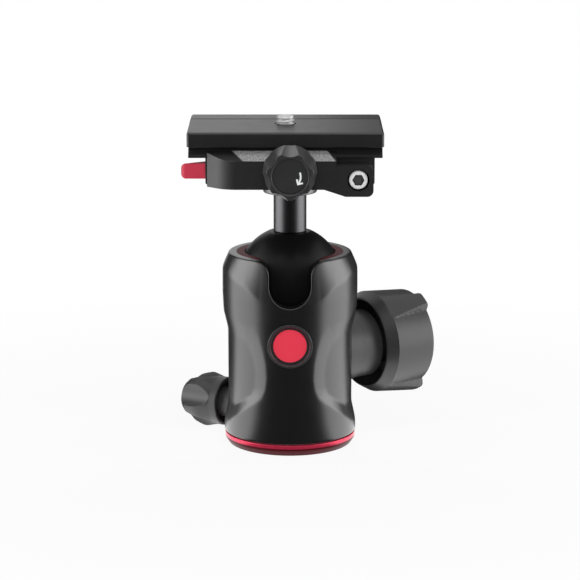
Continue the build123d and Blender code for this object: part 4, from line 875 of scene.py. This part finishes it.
class HeadSizes(bpy.types.PropertyGroup):
    """Sizes of the fine forms."""

    edge: length_setting("Edge rounding", 0.0003, 0.0, 0.002, "Rounding of the clamp's and plate's edges")
    clamp_valleys: count_setting("Clamp knob valleys", 7, 12, "Finger valleys around the clamp knob")
    pan_valleys: count_setting("Pan knob valleys", 5, 9, "Finger valleys around the pan knob")
    thread_pitch: length_setting("Camera thread pitch", 0.00127, 0.0005, 0.003, "Pitch of the camera screw")


class HeadStudio(bpy.types.PropertyGroup):
    """Light and camera."""

    side_light: light_setting("Side lights", "Strength of the two tall side lights")
    top_light: light_setting("Top light", "Strength of the light overhead")
    front_light: light_setting("Front light", "Strength of the light from the front")
    lens: bpy.props.FloatProperty(name="Lens", description="Focal length in millimetres", default=150.14,
                                  min=20.0, max=400.0)


class PieceOperator:
    """What the piece operators share."""

    bl_options = {"REGISTER", "UNDO"}

    @property
    def sizes(self):
        return bpy.context.scene.head_sizes


# ======== operators ===================================================================
class HEAD_OT_finishes(PieceOperator, bpy.types.Operator):
    """Make the head's materials"""

    bl_idname = "head.finishes"
    bl_label = "Finishes"

    def execute(self, context):
        make_finishes(context.scene.head_look)
        return {"FINISHED"}


class HEAD_OT_housing(PieceOperator, bpy.types.Operator):
    """Housing with its grips, notch and lip"""

    bl_idname = "head.housing"
    bl_label = "Housing"

    def execute(self, context):
        room = [(0, BADGE_SEAT), (7.46, BADGE_SEAT), (7.46, 24), (0, 24)]
        shell = carved(housing_mesh(), turned("badge_room", room, BADGE_AXIS, 144, closed=False), 38)
        stand_for(shell, "body_black", "housing")
        ring = finished_copy("seat_ring", "seat_ring_soft", 0.15)
        stand_for(ring, "red_polymer", "seat_ring")
        return {"FINISHED"}


class HEAD_OT_badge(PieceOperator, bpy.types.Operator):
    """Dark bezel and plain red disc on the front"""

    bl_idname = "head.badge"
    bl_label = "Badge"

    def execute(self, context):
        disc_r, bezel_r, steps = 5.6, 6.3, 120
        lathed("bezel_ring", [(bezel_r, BADGE_SEAT), (7.4, BADGE_SEAT), (7.4, 22.7, 0.45), (6.75, 22.75, 0.1),
                              (bezel_r, 22.1, 0.1)], 0.05, BADGE_AXIS, steps, "bezel", "badge_bezel")
        lathed("badge_face", [(0, 21.8), (5.5, 21.8, 0.15), (disc_r, 21.4, 0.1), (disc_r, BADGE_SEAT, 0.02),
                              (0, BADGE_SEAT)], 0.1, BADGE_AXIS, steps, "red_badge", "badge_disc",
               closed=False)
        outline = [(disc_r, BADGE_SEAT), (bezel_r, BADGE_SEAT), (bezel_r, 21.3), (disc_r, 21.3)]
        seat = turned("badge_seat", soften(outline, 0.02), BADGE_AXIS, steps)
        wear(seat, "bezel")
        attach(seat, BODY_OF["badge_bezel"])
        return {"FINISHED"}


class HEAD_OT_base(PieceOperator, bpy.types.Operator):
    """Red base with its tapered foot, and the threaded insert"""

    bl_idname = "head.base"
    bl_label = "Base"

    def execute(self, context):
        insert_r, bore_r, top, pitch, depth = 7.0, 3.97, 9.0, 1.5875, 0.75
        lathed("base_band", [(insert_r, 0.0), (20.7, 0.0, 0.25), (22.0, 1.9, 0.5), (22.0, 3.8, 0.3),
                             (12.0, 3.8), (12.0, 15.5), (0.4, 15.5), (0.4, top), (insert_r, top)], 0.08,
               UPRIGHT, 180, "red_anodised", "base_disc")
        rows = [(insert_r, top)] + [(bore_r, top - 0.12 * k) for k in range(72)]
        rows += [(4.1, 0.25), (4.4, 0.0), (6.9, 0.0), (insert_r, 0.1)]

        def groove(angle, radius, along):
            """Thread of the bore, which fades out below its top."""
            if radius > bore_r + 0.03 or along > top - 0.1:
                return radius
            phase = (along / pitch + angle / (2 * math.pi)) % 1.0
            fade = min(1.0, (top - 0.1 - along) / 0.8)
            return bore_r + depth * fade * (1 - abs(2 * phase - 1))

        insert = turned("threaded_insert", rows, UPRIGHT, 96, groove, sharp=50)
        stand_for(insert, "steel", "thread_insert")
        return {"FINISHED"}


class HEAD_OT_main_lock(PieceOperator, bpy.types.Operator):
    """Main lock knob, its cap and collar"""

    bl_idname = "head.main_lock"
    bl_label = "Main lock"

    def execute(self, context):
        cap_r, cap_seat = 9.0, 47.2
        front = soften([(GRIP_R, GRIP_BACK, 0.25), (19.2, GRIP_FRONT, 1.7), (cap_r, GRIP_FRONT, 0.25),
                        (cap_r, cap_seat, 0.05)], 0.2, 5, closed=False)
        rows = [(15.0, 29.4), (15.35, 29.4), (15.5, 29.55)]
        rows += divided([(15.5, 29.55), (GRIP_R, GRIP_BACK)], 0.6)[1:]
        rows += divided(front[:2], 0.3)[1:] + divided(front[1:], 0.5)
        rows += [(4.0, cap_seat), (4.0, 32.3), (7.6, 32.3), (7.6, 41.9), (7.7, 42.0), (13.8, 42.0),
                 (13.9, 41.9), (14.9, GRIP_BACK)]
        knob = turned("main_grip", rows, MAIN_AXIS, 360, grip_shape, sharp=34)
        stand_for(knob, "knob_rubber", "main_knob")
        knob_cap("main_grip_cap", cap_r, cap_seat, GRIP_FRONT, 0.3, MAIN_AXIS, "main_knob_cap")
        lathed("main_boss", [(4.25, 26.0), (4.25, 30.6), (11.5, 30.6, 0.5), (11.5, 22.6, 0.1),
                             (11.9, 22.5, 0.15), (11.9, 17.2), (5.3, 17.2), (5.3, 26.0)], 0.05,
               MAIN_AXIS, 120, "collar_black", "main_collar")
        return {"FINISHED"}


class HEAD_OT_pan_lock(PieceOperator, bpy.types.Operator):
    """Pan lock knob, its cap and collar"""

    bl_idname = "head.pan_lock"
    bl_label = "Pan lock"

    def execute(self, context):
        cap_r, cap_seat, face = 3.6, 40.2, 41.0
        outline = [(7.3, 24.9, 0.1), (8.3, 24.9, 0.5), (8.3, 27.8, 0.5), (9.6, 32.6, 1.6), (8.3, 37.4, 1.2),
                   (5.2, 40.6, 0.8), (4.4, face, 0.3), (cap_r, face, 0.15), (cap_r, cap_seat, 0.03),
                   (3.0, cap_seat, 0.03), (3.0, 26.9, 0.03), (4.6, 26.9, 0.1), (4.6, 28.2, 0.1),
                   (7.3, 28.2, 0.1)]
        knob = valleyed("pan_grip", divided(soften(outline, 0.2), 0.3), 240, PAN_AXIS, "knob_rubber",
                        self.sizes.pan_valleys, 4.8, (13.1, 9.3), (28.0, face))
        stand_for(knob, "knob_rubber", "pan_knob")
        knob_cap("pan_grip_cap", cap_r, cap_seat, face, 0.2, PAN_AXIS, "pan_knob_cap", 96)
        lathed("pan_boss", [(3.25, 20.4), (3.25, 26.2), (5.4, 26.2, 0.3), (5.4, 19.6), (4.4, 19.6),
                            (4.4, 20.4)], 0.05, PAN_AXIS, 96, "collar_black", "pan_collar")
        return {"FINISHED"}


class HEAD_OT_ball(PieceOperator, bpy.types.Operator):
    """Ball, stem and the collar under the clamp"""

    bl_idname = "head.ball"
    bl_label = "Ball and stem"

    def execute(self, context):
        neck_z = BALL_Z + math.sqrt(BALL_R**2 - NECK_R**2)
        rows = []
        end = math.degrees(math.asin(NECK_R / BALL_R))
        for k in range(97):
            a = math.radians(180 - (180 - end - 2.0) * k / 96)
            rows.append(Vector((BALL_R * math.sin(a) if k else 0.0, BALL_Z + BALL_R * math.cos(a))))
        edge = Vector((NECK_R, neck_z))
        start, finish_at = rows[-1], Vector((NECK_R - 0.6, neck_z))
        for k in range(1, 6):
            t = k / 5
            rows.append(start * (1 - t) ** 2 + edge * 2 * t * (1 - t) + finish_at * t * t)
        rows += [(4.5, neck_z), (4.2, neck_z), (4.2, 60.0), (0, 60.0)]
        ball = turned("ball_sphere", rows, UPRIGHT, 180, closed=False)
        stand_for(ball, "ball_coat", "ball")
        foot_z, top = neck_z + 0.02, 90.6
        lathed("stem_post", [(0, 60.4), (4.0, 60.4, 0.3), (4.0, foot_z, 0.1), (5.5, foot_z, 0.3),
                             (5.5, top, 0.1), (0, top)], 0.2,
               UPRIGHT, 144, "stem_metal", "stem", closed=False)
        lathed("stem_collar", [(5.52, 85.6, 0.15), (9.0, 85.6, 0.6), (9.0, top, 0.1), (5.52, top, 0.1)], 0.1,
               UPRIGHT, 144, "boss_metal", "stem_boss")
        return {"FINISHED"}


JAW_ROUNDS = ((-27, -19, 2.6), (-21, -25, 3.4))  # x, y and rounding of the front jaw's upright edges
BUTTON_STROKE = 2.5


class HEAD_OT_clamp(PieceOperator, bpy.types.Operator):
    """Clamp body, front jaw and the guide screw"""

    bl_idname = "head.clamp"
    bl_label = "Clamp"

    def execute(self, context):
        edge = self.sizes.edge / MM
        for node, name in (("clamp_base", "clamp_body"), ("front_jaw", "clamp_front_jaw")):
            piece = finished_copy(node, name, edge, rounds=JAW_ROUNDS if node == "front_jaw" else ())
            stand_for(piece, "clamp_black", node)
        screw = finished_copy("guide_screw", "jaw_guide_screw", 0.12)
        stand_for(screw, "screw_nickel", "guide_screw")
        return {"FINISHED"}


class HEAD_OT_clamp_knob(PieceOperator, bpy.types.Operator):
    """Clamp knob with its finger valleys, cap and turning arrow"""

    bl_idname = "head.clamp_knob"
    bl_label = "Clamp knob"

    def execute(self, context):
        cap_r, cap_seat, back, front = 5.65, 11.2, 2.2, 12.7
        outline = [(2.55, 0.03), (7.0, 0.03, 0.25), (7.0, back, 0.1), (8.85, back, 0.5), (7.7, front, 0.35),
                   (6.0, front, 0.1), (5.9, 12.5, 0.1), (cap_r, 12.5, 0.1), (cap_r, cap_seat, 0.03),
                   (2.55, cap_seat, 0.03)]
        knob = valleyed("clamp_grip", divided(soften(outline, 0.2), 0.35), 280, CLAMP_KNOB_AXIS, "knob_satin",
                        self.sizes.clamp_valleys, 5.2, (13.7, 11.6), (back, front))
        stand_for(knob, "knob_satin", "clamp_knob")
        knob_cap("clamp_grip_cap", cap_r, cap_seat, CAP_FACE, 0.2, CLAMP_KNOB_AXIS, "clamp_knob_cap")
        arrow = self.arrow()
        wear(arrow, "arrow_white")
        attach(arrow, "clamp_lock")
        return {"FINISHED"}

    def arrow(self):
        """Raised curved arrow on the cap."""
        left, head, right = arrow_outline(3.4, 0.56, 66, 122)
        outline = left + head + right[::-1]
        count, n = len(outline), len(left)
        points = [(p.x, CLAMP_KNOB_Y - CAP_FACE + sunk, CLAMP_KNOB_Z + p.y) for sunk in (0.05, -0.06)
                  for p in outline]
        faces = [(k, (k + 1) % count, count + (k + 1) % count, count + k) for k in range(count)]
        for base in (0, count):
            faces += [(base + k, base + k + 1, base + count - 2 - k, base + count - 1 - k)
                      for k in range(n - 1)]
            last_left, tip, first_right = base + n - 1, base + n + 2, base + n + 5
            faces += [(last_left, base + n, base + n + 1, tip), (last_left, tip, first_right),
                      (first_right, tip, base + n + 3, base + n + 4)]
        return mesh_piece("turning_arrow", points, faces, sharp=30)


class HEAD_OT_safety(PieceOperator, bpy.types.Operator):
    """Safety button, its catch and springs"""

    bl_idname = "head.safety"
    bl_label = "Safety catch"

    def execute(self, context):
        def sloped(corner):
            """Outside the clamp the button's top falls away from the front jaw."""
            share = 1.8
            for reach in ((-27.4 - corner.x) / 0.6, (corner.z - 94.5) / 3, (corner.y + 16) / 8):
                share *= max(0.0, min(1.0, reach))
            return corner - Vector((0, 0, share))

        button = finished_copy("safety_button", "safety_press_button", 0.3, reshape=sloped)
        stand_for(button, "red_button", "safety_button")
        dress("safety_catch", "steel")
        for node, turns, wire_r in (("button_spring", 9, 0.13), ("jaw_springs", 8, 0.24)):
            self.springs(node, turns, wire_r)
        return {"FINISHED"}

    def springs(self, node, turns, wire_r):
        """Real coils in the place of one spring solid."""
        low, high = (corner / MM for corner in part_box(node))
        coil_r, middle, single = (high.z - low.z) / 2, (low + high) / 2, node == "button_spring"
        if single:
            length = high.x - low.x
            places = [(0, 0, 0)]
            axis = axis_of((low.x, middle.y, middle.z), (1, 0, 0), (0, 0, 1))
        else:
            length, reach = high.y - low.y, (high.x - low.x) / 2 - coil_r
            places = [(0, reach * MM, 0), (0, -reach * MM, 0)]
            axis = axis_of((middle.x, low.y, middle.z), (0, 1, 0), (0, 0, 1))
        mesh = bpy.data.meshes.new(node + "_coils")
        mesh.from_pydata(places, [], [])
        piece = in_scene(node + "_coils", mesh)
        grown(spring_tree(), piece, {
            "Turns": float(turns), "Coil radius": (coil_r - wire_r) * MM, "Wire radius": wire_r * MM,
            "Length": (length - 2 * wire_r) * MM, "Material": FINISHES["steel"]})
        piece.data.transform(Matrix.Translation((0, 0, wire_r * MM)))
        set_in_place(piece, axis)
        stand_for(piece, "steel", node)
        if single:
            1 - BUTTON_STROKE / length
            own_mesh(piece)


class HEAD_OT_plate(PieceOperator, bpy.types.Operator):
    """Camera plate, its stops, the retaining ring and the camera screw"""

    bl_idname = "head.plate"
    bl_label = "Plate"

    def execute(self, context):
        plate = finished_copy("plate", "camera_plate_body", self.sizes.edge / MM)
        stand_for(plate, "plate_black", "plate")
        pitch, crest_r, depth, tip_z = self.sizes.thread_pitch / MM, 3.175, 0.62, 111.1
        rows = soften([(0, 100.6), (7.5, 100.6, 0.3), (7.5, 103.2, 0.3), (2.6, 103.2, 0.05),
                       (2.6, PLATE_TOP, 0.05), (3.1, PLATE_TOP + 0.02, 0.02)], 0.1, closed=False)
        rows += [(crest_r, PLATE_TOP + 0.1 + 0.06 * k) for k in range(34)] + [(2.75, tip_z), (0, tip_z)]

        def ridge(angle, radius, along):
            """Thread between the plate's top and the screw's tip."""
            if radius < crest_r - 0.05 or along < PLATE_TOP + 0.05 or along > tip_z - 0.2:
                return radius
            phase = (along / pitch - angle / (2 * math.pi)) % 1.0
            return crest_r - depth * abs(2 * phase - 1)

        screw = turned("camera_thread", rows, CAMERA_AXIS, 96, ridge, closed=False, sharp=50)
        stand_for(screw, "nickel", "camera_screw")
        for node in ("stop_screws", "screw_retainer"):
            dress(node, "steel")
        return {"FINISHED"}


INNER_FINISHES = {
    "steel": ("pan_retainer", "retainer_screws", "cup_spring", "lock_wedge", "main_screw", "pan_screw",
              "clamp_screw", "clamp_dowel", "clamp_stud", "guide_pin"),
    "slip_polymer": ("pan_washer_lower", "pan_washer_upper", "ball_liner", "knob_washer"),
    "brass": ("main_bush", "pan_bush", "ball_cup", "pan_shoe"),
}


class HEAD_OT_inner(PieceOperator, bpy.types.Operator):
    """Finishes of the parts inside the head"""

    bl_idname = "head.inner"
    bl_label = "Inner parts"

    def execute(self, context):
        for finish, nodes in INNER_FINISHES.items():
            for node in nodes:
                dress(node, finish)
        return {"FINISHED"}


# dark and glowing sheets on the floor, seen only in reflections as painted dark and bright reflections; spans
# in degrees from the front
FLAGS = (("flag_front", -50, 50), ("flag_left", -158, -118), ("flag_right", 118, 178))
CARDS = (("card_left", -114, -56), ("card_right", 56, 114))
FLAG_GLOW, CARD_GLOW, SIDE_GLOW, TOP_GLOW, FRONT_GLOW = 0.045, 2.2, 2.8, 1.2, 5.6
WORLD_DIM = 0.15
CAMERA_SEAT, CAMERA_TARGET = Vector((0, -0.795, 0.227)), Vector((0, 0, 0.052))


class HEAD_OT_stage(PieceOperator, bpy.types.Operator):
    """Floor, lights, world and camera"""

    bl_idname = "head.stage"
    bl_label = "Stage"

    def execute(self, context):
        studio = context.scene.head_studio
        scene = context.scene
        floor = self.slab("floor", 6.0, -0.0002)
        floor.data.materials.append(self.paper())
        # the flags and cards glow but are no lamps: they paint dark and bright reflections only
        for cloth, glow, high, spans in (("flag_painted_dark_reflection", FLAG_GLOW, 0.8, FLAGS),
                                         ("card_painted_bright_reflection", CARD_GLOW * studio.side_light, 0.0, CARDS)):
            finish = Finish(cloth, (0.0, 0.0, 0.0), 1.0, specular=0.0)
            finish.shader.inputs["Emission Color"].default_value = (1, 1, 1, 1)
            finish.shader.inputs["Emission Strength"].default_value = glow
            for name, start, end in spans:
                card = self.card(name, start, end, high)
                card.data.materials.append(finish.material)
        self.world(scene)
        for name, x in (("light_left", -0.55), ("light_right", 0.55)):
            self.panel(name, (x, -0.05, 0.17), (0, -0.05, 0.17), (0.5, 0.34), SIDE_GLOW * studio.side_light)
        self.panel("light_top", (0.0, -0.20, 0.90), (0, 0, 0.1), (0.6, 0.5), TOP_GLOW * studio.top_light)
        fill = self.panel("light_front", (0.0, -1.25, 0.42), (0, 0, 0.06), (0.9, 0.6),
                          FRONT_GLOW * studio.front_light)
        fill.visible_glossy = False
        self.camera(scene, studio.lens)
        return {"FINISHED"}

    def card(self, name, start, end, high):
        """Sheet on the floor between two angles, upright at its far side; seen only in reflections."""
        inner, outer, lift, steps = 0.024, 1.1, 0.0004, 24
        points, faces = [], []
        for k in range(steps + 1):
            a = math.radians(start + (end - start) * k / steps)
            way = Vector((math.sin(a), -math.cos(a), 0))
            points += [way * inner + Vector((0, 0, lift)), way * outer + Vector((0, 0, lift)),
                       way * outer + Vector((0, 0, lift + high))]
        for k in range(steps):
            for row in range(2 if high else 1):
                faces.append((3 * k + row, 3 * k + 3 + row, 3 * k + 4 + row, 3 * k + 1 + row))
        mesh = bpy.data.meshes.new(name)
        mesh.from_pydata(points, [], faces)
        card = in_scene(name, mesh)
        card.visible_camera = card.visible_diffuse = card.visible_shadow = card.visible_transmission = False
        return card

    def slab(self, name, size, z):
        mesh = bpy.data.meshes.new(name)
        half = size / 2
        corners = [(-half, -half, z), (half, -half, z), (half, half, z), (-half, half, z)]
        mesh.from_pydata(corners, [], [(0, 1, 2, 3)])
        return in_scene(name, mesh)

    def seen(self, tree):
        """1 where a ray comes from the camera, a reflection or a clear piece."""
        rays = tree_node(tree, "ShaderNodeLightPath")
        camera, glossy, clear = (Wire(tree, rays.outputs[f"Is {kind} Ray"])
                                 for kind in ("Camera", "Glossy", "Transmission"))
        return camera.most(glossy).most(clear)

    def paper(self):
        """White floor that keeps a faint shadow and shows white to the camera."""
        paper = Finish("floor_paper", (0.7, 0.7, 0.7), 0.6, specular=0.2)
        seen = self.seen(paper.tree)
        glow = paper.node("ShaderNodeEmission", None, {"Color": (1, 1, 1, 1), "Strength": 1.0})
        x, y, _ = paper.axes()
        far = ((x * x + y * y) ** 0.5).ramp(60, 240)
        mix = paper.node("ShaderNodeMixShader", None,
                         {0: seen * (far * 0.07 + 0.93), 1: paper.shader.outputs[0], 2: glow.outputs[0]})
        out = next(n for n in paper.tree.nodes if n.type == "OUTPUT_MATERIAL")
        paper.tree.links.new(mix.outputs[0], out.inputs[0])
        return paper.material

    def world(self, scene):
        """Dim light all around; white where the camera looks past the floor."""
        world = bpy.data.worlds.new("studio")
        scene.world = world
        world.use_nodes = True
        tree = world.node_tree
        background = tree.nodes["Background"]
        background.inputs["Color"].default_value = (1, 1, 1, 1)
        plug(tree, background.inputs["Strength"], self.seen(tree) * (1 - WORLD_DIM) + WORLD_DIM)

    def panel(self, name, place, target, size, power):
        """Rectangular light that faces a target, as bright as a surface that emits this power."""
        light = bpy.data.lights.new(name, "AREA")
        light.shape = "RECTANGLE"
        light.size, light.size_y = size
        light.energy = power * size[0] * size[1] * math.pi
        made = in_scene(name, light)
        made.location = place
        made.rotation_euler = (Vector(target) - Vector(place)).to_track_quat("-Z", "Y").to_euler()
        return made

    def camera(self, scene, lens):
        camera = bpy.data.cameras.new("camera")
        camera.lens = lens
        camera.sensor_width = 36.0
        camera.clip_start = 0.01
        made = in_scene("camera", camera)
        made.location = CAMERA_SEAT
        made.rotation_euler = (CAMERA_TARGET - CAMERA_SEAT).to_track_quat("-Z", "Y").to_euler()
        scene.camera = made


OPERATORS = (
    HEAD_OT_finishes, HEAD_OT_housing, HEAD_OT_badge, HEAD_OT_base, HEAD_OT_main_lock, HEAD_OT_pan_lock,
    HEAD_OT_ball, HEAD_OT_clamp, HEAD_OT_clamp_knob, HEAD_OT_safety, HEAD_OT_plate, HEAD_OT_inner,
    HEAD_OT_stage,
)


class HEAD_PT_panel(bpy.types.Panel):
    """Sidebar list of the head's pieces"""

    bl_idname = "HEAD_PT_panel"
    bl_label = "Ball head"
    bl_space_type = "VIEW_3D"
    bl_region_type = "UI"
    bl_category = "Ball head"

    def draw(self, context):
        scene = context.scene
        for group in (scene.head_look, scene.head_sizes, scene.head_studio):
            box = self.layout.box()
            for key in group.bl_rna.properties.keys():
                if key not in ("rna_type", "name"):
                    box.prop(group, key)
        for operator in OPERATORS:
            self.layout.operator(operator.bl_idname)


CLASSES = (HeadLook, HeadSizes, HeadStudio, *OPERATORS, HEAD_PT_panel)


def register():
    for cls in CLASSES:
        bpy.utils.register_class(cls)
    bpy.types.Scene.head_look = bpy.props.PointerProperty(type=HeadLook)
    bpy.types.Scene.head_sizes = bpy.props.PointerProperty(type=HeadSizes)
    bpy.types.Scene.head_studio = bpy.props.PointerProperty(type=HeadStudio)


def unregister():
    del bpy.types.Scene.head_look
    del bpy.types.Scene.head_sizes
    del bpy.types.Scene.head_studio
    for cls in reversed(CLASSES):
        bpy.utils.unregister_class(cls)


def main():
    register()
    bpy.context.scene.view_settings.view_transform = "Standard"
    for operator in OPERATORS:
        group, name = operator.bl_idname.split(".")
        getattr(getattr(bpy.ops, group), name)()
    bpy.context.view_layer.update()


if __name__ == "__main__":
    main()
